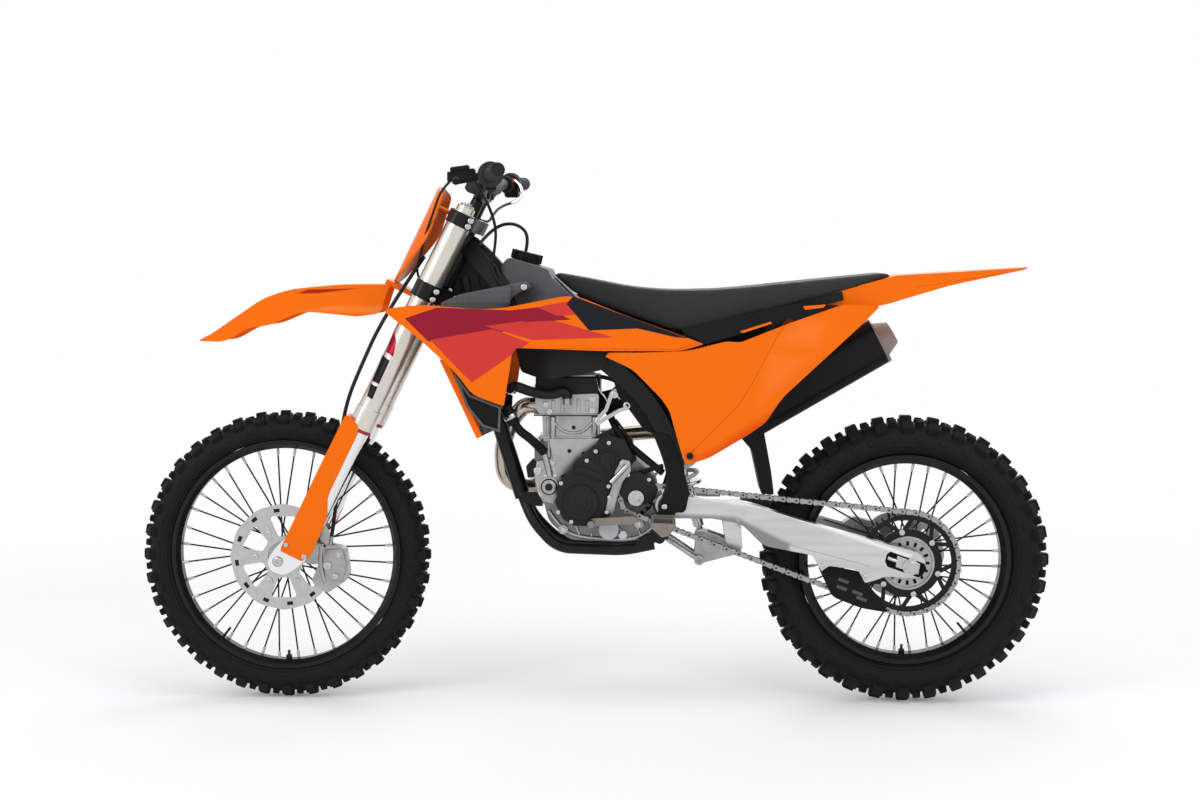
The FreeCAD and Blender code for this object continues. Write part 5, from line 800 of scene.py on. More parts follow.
def addTyre(look):
    name = look["node"] + "_dressed"
    carcass = addCarcass(name + "_casing", look)
    half, lug, tread = look["halfWidth"], look["lug"], treadLook
    crown = look["radius"] - lug
    height = crown - look["flange"] + tread["bead"]
    tall = lug + tread["sink"]
    tilt = math.radians(tread["shoulderTilt"])
    reach = (lug - tread["sink"]) / 2
    long, wide = look["between"]
    halfStep = turnRound(look["axle"], math.pi / look["rows"])
    row = [addLug(look, "crown_lug", 1, 0, crown + lug / 2 - 2, (*look["crown"], tall), 0, 1.2, 0.88)]
    for side in (-1, 1):
        row.append(addLug(look, "shoulder_lug", side, half * 0.70 + reach * math.sin(tilt),
                          crown - height * 0.17 + reach * math.cos(tilt), (*look["shoulder"], tall),
                          tread["shoulderTilt"], 1.2, 0.88))
        small = [addLug(look, "between_lug", side, half * 0.42, crown + lug * 0.10, (long, wide, lug * 0.9),
                        tread["betweenTilt"], 1.2, 0.85),
                 addLug(look, "flank_lug", side, half * 0.985, crown - height * 0.42,
                        (long * 0.9, wide * 0.9, tread["flankHeight"]), tread["flankTilt"], 1.0, 0.8)]
        for piece in small:
            piece.data.transform(halfStep)
        row += small
    lugs = ringOf(name + "_lugs", joinAll("lug_row", row), look["axle"], look["rows"])
    fitAll(name, look["body"], look["node"] + "Rubber", "tyre", [carcass, lugs], look["node"])


def addTyreFinish(look):
    # fine rings on the lower wall
    rubber = copyFinish("tyreRubber", look["node"] + "Rubber")
    reach = distanceFromAxle(rubber, look["axle"])
    turn = mathNode(rubber, "MULTIPLY", reach, 2 * math.pi * 1000 / treadLook["ringSpacing"])
    lowWall = mathNode(rubber, "LESS_THAN", reach, (look["flange"] + treadLook["wallRing"]) / 1000)
    rings = mathNode(rubber, "MULTIPLY", mathNode(rubber, "SINE", turn), lowWall)
    pressHeight(rubber, rings, treadLook["ringDepth"])


for look in tyreLooks.values():
    addTyreFinish(look)
    addTyre(look)
print("tyres made")


# chain

chainLook = {"pitch": 15.875, "side": -72, "front": (848, 497), "frontTeeth": 14, "rearTeeth": 48,
             "links": 116, "plateHeight": 15, "plateWall": 2.2, "waist": 0.62, "middle": 0.0001,
             "inner": 4.6, "outer": 7.0, "roller": 5, "pinShare": 0.62, "pinOut": 1.6, "rollerGap": 0.4}


def chainPlaces(look):
    # pin places round the two sprockets, spaced evenly along the loop
    frontRadius, rearRadius = (look["pitch"] / 2 / math.sin(math.pi / look[teeth])
                               for teeth in ("frontTeeth", "rearTeeth"))
    front, rear = at(*look["front"]), at(*rearAxle)
    span = rear - front
    gap = span.length * 1000
    lean = math.asin((rearRadius - frontRadius) / gap)
    tilt = math.atan2(span.z, span.x)
    run = math.sqrt(gap ** 2 - (rearRadius - frontRadius) ** 2)
    top, low = tilt + math.pi / 2 + lean, tilt - math.pi / 2 - lean

    def onRound(middle, radius, angle):
        return middle + Vector((math.cos(angle), 0, math.sin(angle))) * radius / 1000

    def onRear(angle):
        return onRound(rear, rearRadius, angle)

    def onFront(angle):
        return onRound(front, frontRadius, angle)

    parts = [(run, lambda way: onFront(top).lerp(onRear(top), way / run)),
             (rearRadius * (math.pi + 2 * lean), lambda way: onRear(top - way / rearRadius)),
             (run, lambda way: onRear(low).lerp(onFront(low), way / run)),
             (frontRadius * (math.pi - 2 * lean), lambda way: onFront(low - way / frontRadius))]
    step = sum(length for length, place in parts) / look["links"]
    places = []
    for index in range(look["links"]):
        way = index * step
        for length, place in parts:
            if way < length:
                break
            way -= length
        places.append(place(way))
    return places


def addLink(look, spread):
    # two waisted plates and the pin at the link's front end, lying along +X from the origin
    half = look["pitch"] / 2000
    plates = []
    for side in (-1, 1):
        clearSelection()
        bpy.ops.mesh.primitive_cylinder_add(vertices=12, radius=look["plateHeight"] / 2000,
                                            depth=look["plateWall"] / 1000, rotation=sideways,
                                            location=(half, side * spread / 1000, 0))
        plate = newest("plate")
        for vertex in plate.data.vertices:
            ahead = vertex.co.x - half
            if abs(ahead) < look["middle"]:
                vertex.co.z *= look["waist"]
            else:
                vertex.co.x += math.copysign(half, ahead)
        plates.append(plate)
    pin = addPin("pin", look["outer"] + look["pinOut"], look["roller"] * look["pinShare"], 8)
    return joinAll("link", plates + [pin])


def addPin(name, reach, radius, sides):
    across = Vector((0, reach, 0)) / 1000
    return addRod(name, -across, across, radius, sides, 0)


def addChain(look):
    places = chainPlaces(look)
    narrow, wide = addLink(look, look["inner"]), addLink(look, look["outer"])
    roller = addPin("roller", look["inner"] - look["rollerGap"], look["roller"], 10)
    outer, inner, rollers = [], [], []
    for index, spot in enumerate(places):
        along = places[(index + 1) % len(places)] - spot
        turn = Matrix.Rotation(-math.atan2(along.z, along.x), 4, "Y")
        move = Matrix.Translation(spot + Vector((0, look["side"] / 1000, 0))) @ turn
        if index % 2:
            outer.append(copyAt(wide, move))
        else:
            inner.append(copyAt(narrow, move))
        rollers.append(copyAt(roller, move))
    for master in (narrow, wide, roller):
        bpy.data.objects.remove(master)
    for name, pieces, finishName, replaced in (("chain_outer_plates", outer, "chainSteel", ["chain"]),
                                               ("chain_inner_plates", inner, "chainDark", []),
                                               ("chain_rollers", rollers, "darkCasting", [])):
        smoothPiece(fitAll(name, "chassis", finishName, "chain_steel", pieces, *replaced), 30)


addChain(chainLook)
print("chain made")


# seat and bar pad

padLooks = {
    "seat_cover": {"node": "seat", "voxel": 5, "rounds": 8, "body": "chassis", "finish": "seatGripper",
                   "slot": "seat_cover", "fill": 0.95},
    "bar_pad_cover": {"node": "bar_pad", "voxel": 4, "rounds": 5, "body": "steering", "finish": "gripRubber",
                      "slot": "black_plastic", "fill": 0.9},
}


def addPad(name, look):
    # the pad's own form, remeshed and relaxed so that its edges roll over as a stretched cover does
    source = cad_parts[look["node"]]
    pad = source.copy()
    pad.data = source.data.copy()
    pad.parent = None
    for key in list(pad.keys()):
        if key.startswith("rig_"):
            del pad[key]
    pad.name = name
    bpy.context.scene.collection.objects.link(pad)
    closeShell(pad, treadLook["merge"])
    remesh = pad.modifiers.new("remesh", "REMESH")
    remesh.mode = "VOXEL"
    remesh.voxel_size = look["voxel"] / 1000
    bpy.ops.object.modifier_apply(modifier="remesh")
    relax = pad.modifiers.new("relax", "SMOOTH")
    relax.iterations = look["rounds"]
    relax.factor = 0.5
    bpy.ops.object.modifier_apply(modifier="relax")
    bpy.ops.object.shade_smooth()
    fit(pad, look["body"], look["finish"], look["slot"], look["node"])


for name, look in padLooks.items():
    addPad(name, look)
print("seat and bar pad made")


# hoses and cables, each laid along its points

hoseLooks = {
    "coolant_hose_tube": {"radius": 12, "node": "coolant_hose", "body": "chassis",
                          "points": [at(552, 762, -116), at(558, 766, -98), at(566, 766, -90),
                                     at(606, 750, -86), at(652, 744, -84), at(686, 759, -84),
                                     at(686, 737, -84)]},
    "vent_hose_tube": {"radius": 4, "node": "tank_vent_hose",
                       "blend": ("chassis", "steering", at(540, 1150), at(480, 1104)),
                       "points": [at(582.7, 1083), at(592, 1120), at(566, 1148), at(528, 1150), at(492, 1126),
                                  at(474, 1098, -44)]},
    "brake_hose_tube": {"radius": 4.6, "node": "brake_hose", "body": "steering",
                        "points": [onFork(-66, -60, 800), onFork(-88, -96, 640), onFork(-84, -98, 480),
                                   onFork(-80, -84, 410), onFork(-62, -62, 330), onFork(-24, -61, 230),
                                   onFork(6, -66, 160), onFork(24, -66, 100)]},
    "cable_tube": {"radius": 3.5, "node": "control_cables",
                   "blend": ("steering", "chassis", at(505, 1190), at(502, 1036)),
                   "points": [at(480, 1248, -235), at(484, 1238, -190), at(504, 1196, -130),
                              at(520, 1140, -84), at(514, 1086, -64), at(502, 1034, -58.5),
                              at(538, 992, -69.6)]},
}


def addHose(name, look):
    hose = addTube(name, look["points"], look["radius"], 4)
    if "blend" in look:
        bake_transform(hose)
    else:
        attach(hose, look["body"])
    dress(hose, "hoseRubber", "hose", look["node"])


for name, look in hoseLooks.items():
    addHose(name, look)
print("hoses made")


# rear shock; the shares lie along the line from its top eye to its foot

shockLook = {"top": at(905, 772), "foot": at(1006, 400), "rodRadius": 8, "rodStart": 0.4, "bodyRadius": 22,
             "bodyEnd": 0.46, "coilRadius": 30, "wireRadius": 5.6, "turns": 7, "stepsPerTurn": 26,
             "coilStart": 0.16, "coilEnd": 0.66, "eyeRadius": 17.5, "eyeSide": 21.5,
             "rings": [(0.115, 0.131, 37), (0.135, 0.151, 37), (0.655, 0.675, 36)],
             "clevis": (0.66, 0.94, 13)}


def addShock(look):
    top, foot = look["top"], look["foot"]
    along = foot - top
    eye = Vector((0, look["eyeSide"], 0)) / 1000
    steel = [addRod("shock_rod", top + along * look["rodStart"], foot, look["rodRadius"])]
    steel += [addRod("shock_eye", end - eye, end + eye, look["eyeRadius"]) for end in (top, foot)]
    steel.append(addRod("shock_body", top, top + along * look["bodyEnd"], look["bodyRadius"], 32, 1.5))
    steel += [addRod("shock_ring", top + along * start, top + along * end, radius, 32, 1.0)
              for start, end, radius in look["rings"]]
    start, end, radius = look["clevis"]
    steel.append(addRod("shock_fork", top + along * start, top + along * end, radius, 20, 1.0))
    fitAll("shock_damper", "chassis", "machined", "spring_steel", steel)
    clearSelection()
    bpy.ops.mesh.primitive_circle_add(vertices=12, radius=look["wireRadius"] / 1000,
                                      location=(look["coilRadius"] / 1000, 0, 0), rotation=sideways)
    coil = newest("shock_coil")
    screw = coil.modifiers.new("screw", "SCREW")
    screw.angle = 2 * math.pi * look["turns"]
    screw.screw_offset = along.length * (look["coilEnd"] - look["coilStart"])
    screw.steps = look["stepsPerTurn"] * look["turns"]
    screw.render_steps = screw.steps
    screw.axis = "Z"
    bpy.ops.object.modifier_apply(modifier="screw")
    closeShell(coil)
    coil.data.transform(Matrix.Translation(top + along * look["coilStart"])
                        @ along.to_track_quat("Z", "Y").to_matrix().to_4x4())
    smoothPiece(coil, 60)
    fit(coil, "chassis", "springWhite", "spring_steel", "shock")


addShock(shockLook)
print("shock made")


# engine dress

engineLook = {
    "head": -66, "barrel": -56, "case": -56, "cover": -100,
    "webs": [[(643, 692), (660, 668), (681, 652), (716, 652), (738, 668), (757, 692)],
             [(646, 640), (660, 627), (690, 622), (722, 627), (742, 642)]],
    "flutes": [(652, 26), (674, 34), (712, 34), (732, 26)],
    "cornerRibs": [(637, 667), (759, 667), (640, 612), (752, 655)],
    "studs": [(650, 560, 692), (750, 648, 692)],
    "caseWebs": [((700, 440), (716, 404)), ((742, 412), (744, 398)), ((808, 424), (826, 398)),
                 ((846, 440), (862, 404)), ((822, 470), (866, 448)), ((872, 520), (900, 560))],
    "headBosses": [(634, 722), (746, 733), (745, 706), (643, 704)],
    "pump": (642, 525), "ignition": (718.6, 491),
    "pumpPlate": [(612, 586), (606, 550), (612, 512), (626, 488), (650, 482), (666, 506), (672, 548),
                  (662, 592)],
    "barrelFoot": [(640, 640), (762, 640), (745, 612), (712, 585), (690, 560), (666, 548), (650, 590)],
    "arm": [(692, 560), (702, 586), (752, 628), (786, 652), (822, 640), (840, 606), (832, 574), (806, 554),
            (788, 522), (778, 470), (752, 500), (742, 560)],
    "sprocketCover": [(806, 528), (820, 554), (850, 566), (886, 550), (902, 520), (894, 496), (872, 486),
                      (848, 482), (824, 492), (810, 508)],
    # an outline a little wider than the covers, for a dark plate of painted shade round their edge
    "coverShadowOutline": [(655, 524), (657, 480), (674, 446), (700, 430), (750, 428), (788, 456), (800, 500), (812, 548),
               (850, 590), (840, 640), (790, 664), (742, 640), (690, 592), (662, 552)],
    "duct": [(792, 790), (806, 742), (838, 702), (868, 660), (900, 650), (960, 660), (1034, 700), (1034, 820),
             (930, 830), (850, 826)],
    "slave": [(790, 522), (782, 500), (776, 468), (796, 462), (804, 500), (818, 540), (838, 566), (834, 590),
              (816, 594), (800, 566)],
    "lowerRib": [(640, 466), (668, 426), (700, 406), (760, 398), (820, 396), (866, 404), (896, 432)],
    "stay": [(748, 684), (758, 670), (774, 682), (812, 704), (838, 712), (836, 730), (812, 744), (800, 760),
             (788, 752), (774, 712)],
    "ridge": [(700, 566), (716, 578), (770, 558), (766, 540), (722, 556)],
    "cradleEnd": [(846, 380), (884, 382), (914, 408), (922, 452), (898, 458), (884, 412), (856, 402)],
    "bracket": [(586, 572), (602, 590), (626, 574), (622, 548), (590, 544)],
    "stayWire": [(753, 779, -54), (762, 752, -68), (775, 741, -70), (784, 722, -66)],
    "longBrace": [(778, 716, -24), (792, 676, -50), (817, 639, -66), (860, 601, -70), (912, 562, -94)],
    "shortBrace": [(838, 549, -72), (868, 566, -80), (912, 578, -96)],
    "lowerHose": [(556, 686, -84), (570, 660, -82), (600, 640, -74), (630, 606, -64)],
    "frontLoom": [(800, 684, -60), (826, 654, -74), (838, 620, -76), (826, 580, -70)],
    "topLoom": [(764, 786, -50), (800, 782, -60), (826, 748, -64), (858, 720, -80)],
    "slavePipe": [(790, 540, -104), (806, 556, -107), (828, 580, -103)],
    "pumpOutlet": [(646, 540, -64), (640, 572, -66), (630, 600, -62)],
    "oilLine": [(640, 560, 52), (634, 600, 62), (650, 640, 60)],
    "clutch": (785, 497), "clutchRing": (84, 82 / 84), "clutchLid": (794.5, 500.7),
    "coverBolts": [(672, 537), (665, 468), (733, 591), (780, 468), (786, 504), (784, 530), (754, 613),
                   (785, 633), (815, 586), (696, 445), (740, 440)],
    "caseBolts": [(634, 548), (655, 549), (650, 580), (622, 506), (856, 437), (675, 421)],
}


def flutes(look, face):
    # upright flutes between the head's bosses
    return [addBlock("flute", at(x, 718, face), (9, 5, depth), 1.8) for x, depth in look["flutes"]]


def line(spots, *side):
    return [at(*spot, *side) for spot in spots]


def addCastings(look):
    barrel, case, pump = look["barrel"], look["case"], look["pump"]
    cast = [addTube("web", line(web, barrel - 1), 3.6, 2) for web in look["webs"]]
    cast += flutes(look, look["head"])
    cast += [addBlock("corner_rib", at(x, z, barrel + 1), (7, 8, 42), 2) for x, z in look["cornerRibs"]]
    cast += [addRod("stud_column", at(x, low, barrel + 1), at(x, top, barrel + 1), 8, 20, 1.5)
             for x, low, top in look["studs"]]
    cast += [addTube("case_web", line(ends, case - 1), 3.2, 2) for ends in look["caseWebs"]]
    cast += [addBlock("head_joint", at(685, 697), (158, 136, 3.6), 1),
             addBlock("foot_joint", at(690, 641), (146, 118, 7), 1.5),
             addPlate("pump_plate", look["pumpPlate"], case - 8, 12, 2),
             addPlate("barrel_foot", look["barrelFoot"], case - 9, 12, 2),
             addRound("pump_body", pump, case, -20, 24, edge=2),
             addRound("pump_lid", pump, case - 19, -6, 17, edge=1.5),
             addTube("pump_outlet", line(look["pumpOutlet"]), 8, 3),
             addTube("sump_rib", line(look["lowerRib"], case - 1), 5, 2),
             addRound("rear_boss", (856, 437), case, -8, 13, edge=1.5),
             addRound("front_boss", (675, 421), case, -8, 12, edge=1.5),
             addPlate("clutch_slave", look["slave"], look["cover"] + 2, 40, 2)]
    fitAll("engine_castings", "chassis", "castSilver", "cast_alloy", cast)
    far = [addTube("far_web", line(look["webs"][0], 1 - barrel), 3.6, 2),
           addTube("far_sump_rib", line(look["lowerRib"], 1 - case), 5, 2),
           addTube("oil_line", line(look["oilLine"]), 6, 3)]
    fitAll("engine_far_castings", "chassis", "castSilver", "cast_alloy", far + flutes(look, -look["head"]))


def addCovers(look):
    case, cover, ignition = look["case"], look["cover"], look["ignition"]
    dark = [addRound("pump_groove", look["pump"], face + 2, -2.6, radius, edge=0)
            for radius, face in ((20, -76.6), (9, -82.2))]
    dark += [addRound("port", spot, face, -0.8, 5, 16, 0)
             for spot, face in (((700, 665), -56), ((690, 610), -65), ((724, 604), -65))]
    # painted shade: a thin dark sheet in the joint between the head and the barrel
    dark += [addBlock("joint_shadow_line", at(685, 694.2), (159, 137, 1.4), 0),
             # painted shade: a dark plate showing as a margin round the covers
             addPlate("cover_shadow_plate", look["coverShadowOutline"], case - 5, 8, 1),
             addRound("sprocket_well", (848, 499), case, -4, 44, edge=1),
             addBlock("cam_cover", at(686, 764), (154, 112, 48), 5),
             addPlate("cover_arm", look["arm"], cover + 4, 42, 2.5),
             addPlate("sprocket_cover", look["sprocketCover"], -90, 7, 2),
             addRound("ignition_hub", ignition, -107, -4, 15, edge=1.5),
             addRound("ignition_step", ignition, -107, -1.8, 28, edge=1.2),
             addRound("starter_step", (782, 592), cover, -5, 19, edge=2),
             addPlate("ignition_ridge", look["ridge"], cover - 3, 6, 1.5)]
    # the dark covers are joined with the pieces of painted shade
    fitAll("engine_dark_covers_and_painted_shade", "chassis", "darkCasting", "dark_casting", dark)
    lid = addRound("clutch_lid_step", look["clutchLid"], 111, 3, 40, 24, 1)
    fit(lid, "chassis", "darkCasting", "dark_casting")
    fit(addRound("case_plug", (784, 423), -73, -3.5, 24, edge=1.2), "chassis", "palePlug", "steel")


def addEngineFittings(look):
    bright = [addRound("drive_nut", (849, 501), -89, -7, 19, edge=1.5),
              addRound("drive_nut_step", (849, 501), -95, -3, 11, 6, 1.0),
              addTube("slave_pipe", line(look["slavePipe"]), 6, 3),
              addPlate("head_stay", look["stay"], -78, 7, 1.2, rim=9),
              addRound("case_sight", (817, 408), look["case"], -6, 11, edge=1.2),
              addRound("hose_clamp_low", (552, 760), -112, 10, 12.6, edge=0.8),
              addRod("elbow_clamp", at(549, 698, -85), at(554, 688, -85), 16.8, 28, 0.8),
              addTube("stay_wire", line(look["stayWire"]), 2.6, 2)]
    fitAll("engine_bright_parts", "chassis", "machined", "steel", bright)
    black = [addTube("frame_brace_long", line(look["longBrace"]), 8.5, 3),
             addTube("frame_brace_short", line(look["shortBrace"]), 6, 3),
             addRod("intake_body", at(742, 714), at(842, 738), 27, 32, 2),
             addRod("intake_ring", at(800, 728), at(812, 731), 31, 32, 1.5),
             addRod("lower_elbow", at(540, 716, -86), at(560, 676, -84), 15, 28, 2),
             addTube("lower_hose", line(look["lowerHose"]), 11, 3),
             addTube("loom_front", line(look["frontLoom"]), 3.4, 2),
             addTube("loom_top", line(look["topLoom"]), 5, 2)]
    fitAll("frame_braces_and_intake", "chassis", "blackPlastic", "black_plastic",
           black + addPair("intake_duct", look["duct"], 84, 40, 6))
    mounts = addPair("cradle_end", look["cradleEnd"], 70, 16, 2)
    mounts.append(addPlate("mount_bracket", look["bracket"], -60, 26, 1.5))
    fitAll("engine_mounts", "chassis", "framePaint", "black_paint", mounts)


def addEngineBolts(look):
    cover, case = look["cover"], look["case"]
    addBolts("engine_bolts", "chassis",
             onFace(cover - 0.2, 4.6, *look["coverBolts"])
             + onFace(look["head"] - 1, 6.5, *look["headBosses"])
             + onFace(-78, 8.5, (760, 684), (798, 746), (827, 720))
             + onFace(case - 8, 5, *look["caseBolts"]) + onFace(-60, 9, (614, 562))
             + onFace(-90, 4.6, (830, 556), (880, 545))
             + onFace(boxSide("frame_guards", -1), 6.5, (916, 484)))
    radius, flat = look["clutchRing"]
    addBolts("clutch_cover_bolts", "chassis",
             boltRing(look["clutch"], radius, 103.8, 4.6, 9, right, flat=flat)
             + boltRing(look["clutchLid"], 52, 112, 4.2, 5, right))


addCastings(engineLook)
addCovers(engineLook)
addEngineFittings(engineLook)
addEngineBolts(engineLook)
print("engine dressed")


# rear sprocket, arm ends and wheel fittings

sprocketLook = {"side": -72, "wall": 7, "teeth": 48, "band": (104, 116.5), "toothTop": 124, "ring": (62, 82),
                "arms": 6, "firstArm": 41, "spread": 17, "armWidth": 9.5, "boltCircle": 75, "slots": 16,
                "slotCircle": 47, "carrier": [(2, 8, 33, 63), (-4, 3, 58, 64)]}
fittingLooks = {"front_wheel": {"axle": frontAxle, "rim": 259, "lock": -90, "valve": 232},
                "rear_wheel": {"axle": rearAxle, "rim": 231, "lock": -90.5, "valve": 310}}
armEndLook = {
    "slot": [(1438, 374), (1446, 381), (1526, 353), (1531, 342), (1522, 324), (1512, 320), (1440, 345),
             (1434, 358)],
    "block": [(1462, 372), (1516, 353), (1512, 327), (1458, 345)], "screw": [(1440, 366), (1466, 357)],
    "guideSlots": [(1341, 305), (1337, 288), (1374, 276), (1384, 262)],
}


def addSprocket(look):
    side, wall = look["side"], look["wall"]
    pieces = [addRing("sprocket_" + part, rearAxle, side, wall, *look[part]) for part in ("band", "ring")]
    middle = (look["band"][1] + look["toothTop"]) / 2 - 1
    tooth = addBlock("tooth", aroundAxle(rearAxle, middle, 90, side), (6.4, wall * 0.8, 9), 0.8, taper=0.5)
    pieces.append(ringOf("teeth", tooth, rearAxle, look["teeth"]))
    for turn in range(look["arms"]):
        base = look["firstArm"] + turn * 360 / look["arms"]
        for way in (-1, 1):
            start = aroundAxle(rearAxle, look["ring"][1] - 6, base + way * 3, side)
            end = aroundAxle(rearAxle, look["band"][0] + 4, base + way * look["spread"], side)
            along = end - start
            size = (look["armWidth"], wall * 0.9, along.length * 1000)
            pieces.append(addBlock("arm", (start + end) / 2, size, 0.8, (0, math.atan2(along.x, along.z), 0)))
    fitAll("sprocket_windowed", "rear_wheel", "rimBlack", "rim_black", pieces, "rear_sprocket")
    carrier = [addRing("carrier", rearAxle, side + shift, *ring) for shift, *ring in look["carrier"]]
    fitAll("sprocket_carrier", "rear_wheel", "castSilver", "cast_alloy", carrier)
    addBolts("sprocket_bolts", "rear_wheel",
             boltRing(rearAxle, look["boltCircle"], side - wall / 2, 6.5, 6, first=look["firstArm"]))
    slots = []
    for turn in range(look["slots"]):
        degrees = turn * 360 / look["slots"]
        spot = aroundAxle(rearAxle, look["slotCircle"], degrees, side - 2.2)
        slots.append(addBlock("slot", spot, (7, 1.2, 11), 0.8, (0, math.radians(90 - degrees), 0)))
    fitAll("carrier_slots", "rear_wheel", "darkGap", "rim_black", slots)


def addWheelFittings(body, look):
    parts = []
    for name, degrees, deep, radius, sides, edge in (("lock_stem", look["lock"], 20, 3.5, 12, 0),
                                                     ("lock_nut", look["lock"], 9, 8, 6, 0.6),
                                                     ("valve_stem", look["valve"], 26, 3, 12, 0)):
        parts.append(addRod(name, aroundAxle(look["axle"], look["rim"] + 1, degrees),
                            aroundAxle(look["axle"], look["rim"] - deep, degrees), radius, sides, edge))
    fitAll(body + "_lock_and_valve", body, "darkCasting", "steel", parts)


def addArmEnds(look):
    armFace, guideFace = boxSide("swingarm", -1), boxSide("chain_guide", -1)
    fit(addPlate("arm_slot", look["slot"], armFace - 0.6, 2, 0), "chassis", "darkGap", "rim_black")
    adjuster = [addPlate("adjuster", look["block"], armFace - 5, 6, 1.5),
                addRound("axle_washer", rearAxle, armFace - 4, -4, 19),
                addRound("axle_nut", rearAxle, armFace - 7, -9, 16, 6),
                addRod("adjuster_screw", *line(look["screw"], armFace - 1), 4.5, 12, 0.5)]
    fitAll("arm_end_parts", "chassis", "machined", "steel", adjuster)
    slots = [addBlock("slot", at(*spot, guideFace - 0.2), (26, 1.6, 8), 1.5, (0, math.radians(20), 0))
             for spot in look["guideSlots"]]
    fitAll("chain_guide_slots", "chassis", "greyPlastic", "black_plastic", slots)
    addBolts("arm_bolts", "chassis", onFace(armFace, 6, (1290, 346), (1387, 320)))


addSprocket(sprocketLook)
for body, look in fittingLooks.items():
    addWheelFittings(body, look)
addArmEnds(armEndLook)
print("sprocket and arm ends made")


# fork, caliper and clamps

forkLook = {
    "legSide": 98, "legBack": -22, "discBoltCircle": 66, "clampHeights": (911, 926, 722, 742),
    "caliperPanel": [(104, 372), (146, 374), (158, 336), (146, 296), (116, 296), (98, 332)],
    "caliperBolts": [((138, 360), 6), ((130, 308), 6), ((112, 334), 9)],
    "guardBolts": [((65, 363), 6), ((22, 391), 5)],
}


def addForkFittings(look):
    discFace, caliperFace = boxSide("front_disc", -1), boxSide("front_caliper", -1)
    addBolts("front_disc_bolts", "front_wheel", boltRing(frontAxle, look["discBoltCircle"], discFace, 6, 6))
    caliper = [addPlate("caliper_panel", look["caliperPanel"], caliperFace - 4, 6, 2),
               addTube("caliper_bridge", [at(96, 380, caliperFace + 4), at(88, 336, caliperFace - 3),
                                          at(104, 290, caliperFace + 4)], 6, 2)]
    fitAll("front_caliper_parts", "steering", "castSilver", "cast_alloy", caliper)
    addBolts("caliper_bolts", "steering",
             [(at(*spot, caliperFace - 4), left, radius) for spot, radius in look["caliperBolts"]])
    addBolts("wheel_spindle_bolts", "steering", onFace(boxSide("front_axle", -1) + 2, 10, frontAxle))
    seals, caps, guards, pinch = [], [], [], []
    for side, way in ((-1, left), (1, right)):
        back, across = look["legBack"], side * look["legSide"]
        seals.append(addRod("seal", onFork(back, across, 363), onFork(back, across, 371.5), 27.5, 32, 0.8))
        caps.append(addRod("cap_hex", onFork(back, across, 944), onFork(back, across, 956), 17, 6, 1))
        caps.append(addRod("cap_screw", onFork(back, across, 954), onFork(back, across, 960), 8, 20, 1))
        guardFace = boxSide("fork_guards", side) - side * 0.6
        guards += [(at(*spot, guardFace), way, radius) for spot, radius in look["guardBolts"]]
        clampFace = -side * boxSide("triple_clamps", -1)
        pinch += [(onFork(4, clampFace, up), way, 6.5) for up in look["clampHeights"]]
    fitAll("fork_seals", "steering", "sealRed", "fork_alloy", seals)
    addBolts("guard_bolts", "steering", guards)
    addBolts("clamp_bolts", "steering", pinch)
    fitAll("fork_cap_fittings", "steering", "zincBolt", "chrome", caps)


addForkFittings(forkLook)
print("fork fitted")


# controls on the bar

barLook = {
    "droop": math.radians(-8), "leverSide": 246, "clampSide": 45,
    "cover": [at(536, 1262, 262), at(552, 1250, 258), at(556, 1226, 252), at(544, 1208, 240),
              at(528, 1204, 226)],
    "throttle": [at(528, 1204, 226), at(508, 1196, 190), at(496, 1176, 120), at(486, 1150, 70),
                 onFork(4, 44, 934)],
    "clutch": [at(440, 1250, -246), at(404, 1226, -200), at(380, 1186, -120), at(350, 1112, -96),
               at(342, 1076, -88), onFork(-70, -60, 760), onFork(-50, -40, 740)],
}


def addBarControls(look):
    droop = (0, look["droop"], 0)
    bars = []
    for side in (-1, 1):
        lever, clamp = side * look["leverSide"], side * look["clampSide"]
        bars += [addBlock("master_cylinder", at(456, 1256, lever), (64, 22, 20), 4, droop),
                 addBlock("reservoir", at(452, 1269, lever), (44, 26, 12), 4, droop),
                 addRod("lever_pivot", at(430, 1262, side * 250), at(430, 1240, side * 250), 7, 16, 1),
                 addRod("perch_collar", at(515, 1252, side * 236), at(517, 1253, side * 262), 20, 28, 1.5),
                 addBlock("bar_clamp", at(484, 1214, clamp), (38, 30, 14), 3)]
    bars += [addBlock("switch_case", at(520, 1238, -222), (26, 24, 34), 4),
             addRod("throttle_drum", at(526, 1254, 268), at(530, 1255, 292), 24, 32, 2),
             addBlock("throttle_case", at(528, 1240, 280), (36, 24, 40), 6)]
    fitAll("bar_controls", "steering", "blackPlastic", "black_plastic", bars)
    fit(addRound("start_button", (532, 1262), 262, -6, 5.5, 16), "steering", "orangeGloss", "orange_plastic")
    fit(addTube("throttle_cable_cover", look["cover"], 5, 3), "steering", "chromeRod", "chrome")
    hoses = [addTube("throttle_cable", look["throttle"], 3.4, 2),
             addTube("clutch_line", look["clutch"], 3, 2)]
    fitAll("bar_hoses", "steering", "hoseRubber", "hose", hoses)


addBarControls(barLook)
print("bar controls made")


# trim round the steering head and the tank

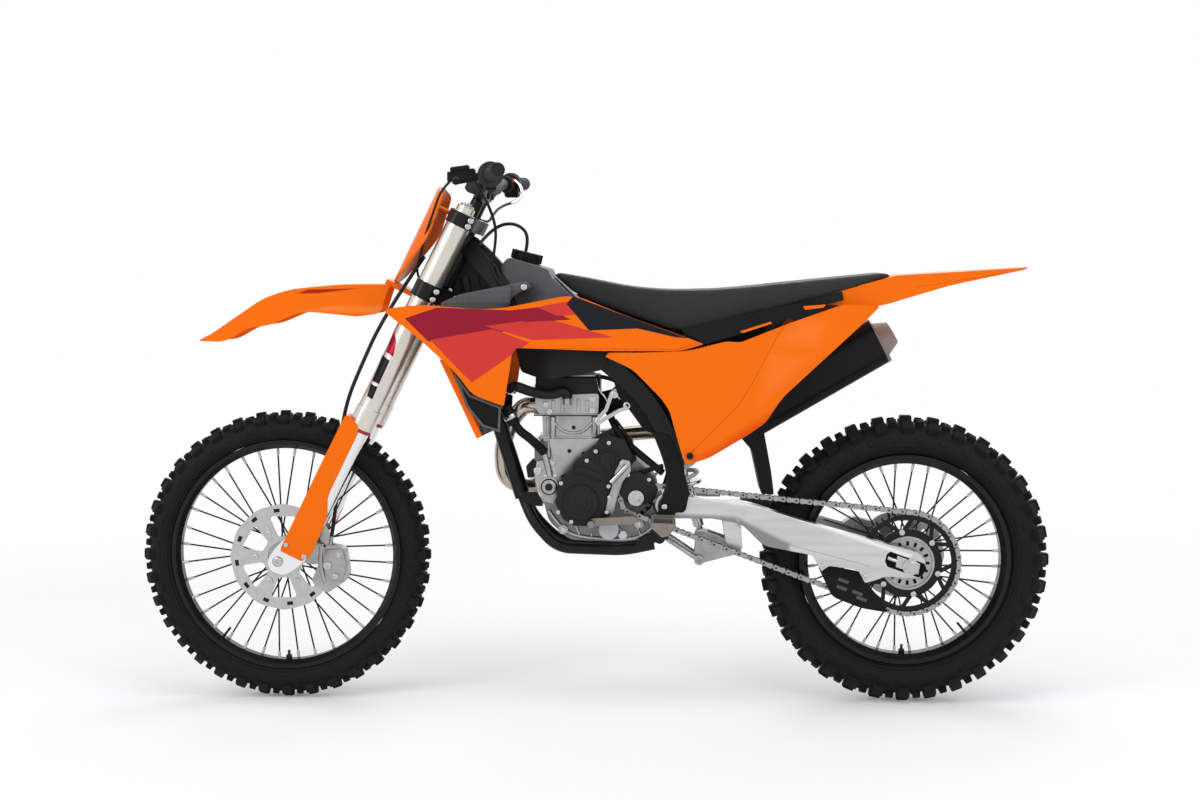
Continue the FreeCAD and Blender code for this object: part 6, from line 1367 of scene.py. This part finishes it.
headLook = {"web": [(404, 996), (464, 1118), (500, 1086), (566, 1012), (612, 960), (566, 896), (470, 880),
                    (436, 930)],
            "fold": [(480, 1080), (520, 1020), (560, 965), (548, 940), (500, 960), (470, 1010)],
            "tip": [(392, 950), (396, 965), (440, 984), (520, 1000), (560, 1004), (556, 960), (523, 944)],
            "pad": [(470, 942), (500, 985), (556, 1008), (592, 1014), (606, 1000), (573, 985), (523, 944)],
            "hose": [at(470, 1062, -22), at(500, 1040, -40), at(540, 990, -62), at(566, 940, -74)]}
capLook = {"tilt": math.radians(14), "lobes": 12, "lobeCircle": 33.5, "lobeRadius": 4.4, "lobeLow": -6,
           "lobeTop": 15.5, "flangeLow": -14, "flangeTop": -8, "flangeRadius": 39}


def addHeadTrim(look):
    head = [addPlate("head_web", look["web"], -14, 28, 3), addPlate("head_fold", look["fold"], -24, 48, 5),
            addTube("head_hose", look["hose"], 9, 3)]
    fitAll("head_gusset", "chassis", "hoseRubber", "black_plastic", head)
    wings = addPair("tank_wing", look["pad"], 132, 44, 3) + addPair("wing_tip", look["tip"], 146, 18, 3)
    fitAll("tank_wings", "chassis", "dimpledGrey", "grey_plastic", wings)
    addBolts("wing_bolts", "chassis",
             onFace(-131.6, 7, (588, 1000)) + onFace(131.6, 7, (588, 1000), way=right))


def addCapGrip(look):
    low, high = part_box("fuel_cap")
    middle = (low + high) / 2
    lean = Matrix.Rotation(look["tilt"], 3, "Y")
    up = lean @ Vector((0, 0, 1)) / 1000
    grip = [addRod("cap_flange", middle + up * look["flangeLow"], middle + up * look["flangeTop"],
                   look["flangeRadius"], 40, 1)]
    for turn in range(look["lobes"]):
        angle = 2 * math.pi * turn / look["lobes"]
        spot = middle + lean @ Vector((math.cos(angle), math.sin(angle), 0)) * look["lobeCircle"] / 1000
        grip.append(addRod("cap_lobe", spot + up * look["lobeLow"], spot + up * look["lobeTop"],
                           look["lobeRadius"], 12, 0.8))
    fitAll("fuel_cap_grip", "chassis", "blackPlastic", "black_plastic", grip)


addHeadTrim(headLook)
addCapGrip(capLook)
print("head and tank trimmed")


# pegs, radiator feet and seat base

trimLook = {
    "pegTeeth": [(888, 456), (937, 454)], "pegStart": 126, "pegStep": 10, "pegRows": 8,
    "foot": [(424, 809), (466, 752), (537, 724), (534, 664), (492, 678), (456, 724)],
    "tray": [(936, 866), (1004, 860), (1012, 888), (962, 906), (940, 902)],
}


def addTrim(look):
    across = [look["pegStart"] + step * look["pegStep"] for step in range(look["pegRows"])]
    teeth = [addBlock("tooth", at(*spot, side * out), (5, 4, 9), 0, taper=0.4)
             for side in (-1, 1) for out in across for spot in look["pegTeeth"]]
    fitAll("peg_teeth", "chassis", "warmSteel", "steel", teeth)
    # the grey of the rims is a painted highlight along the edges of the black louvre feet
    feet, rims = addPair("foot", look["foot"], 168, -6, 1.5), addPair("rim", look["foot"], 174, -3, 1, 6)
    fitAll("louvre_feet", "chassis", "blackPlastic", "black_plastic", feet)
    fitAll("louvre_foot_rims_painted_highlight", "chassis", "greyPlastic", "grey_plastic", rims)
    addBolts("panel_bolts", "chassis", onFace(boxSide("side_panels", -1) + 0.3, 8, (975, 608)), "darkCasting")
    fit(addPlate("seat_base_filler", look["tray"], -60, 120, 0), "chassis", "blackPlastic", "black_plastic")


addTrim(trimLook)
print("fixings placed")
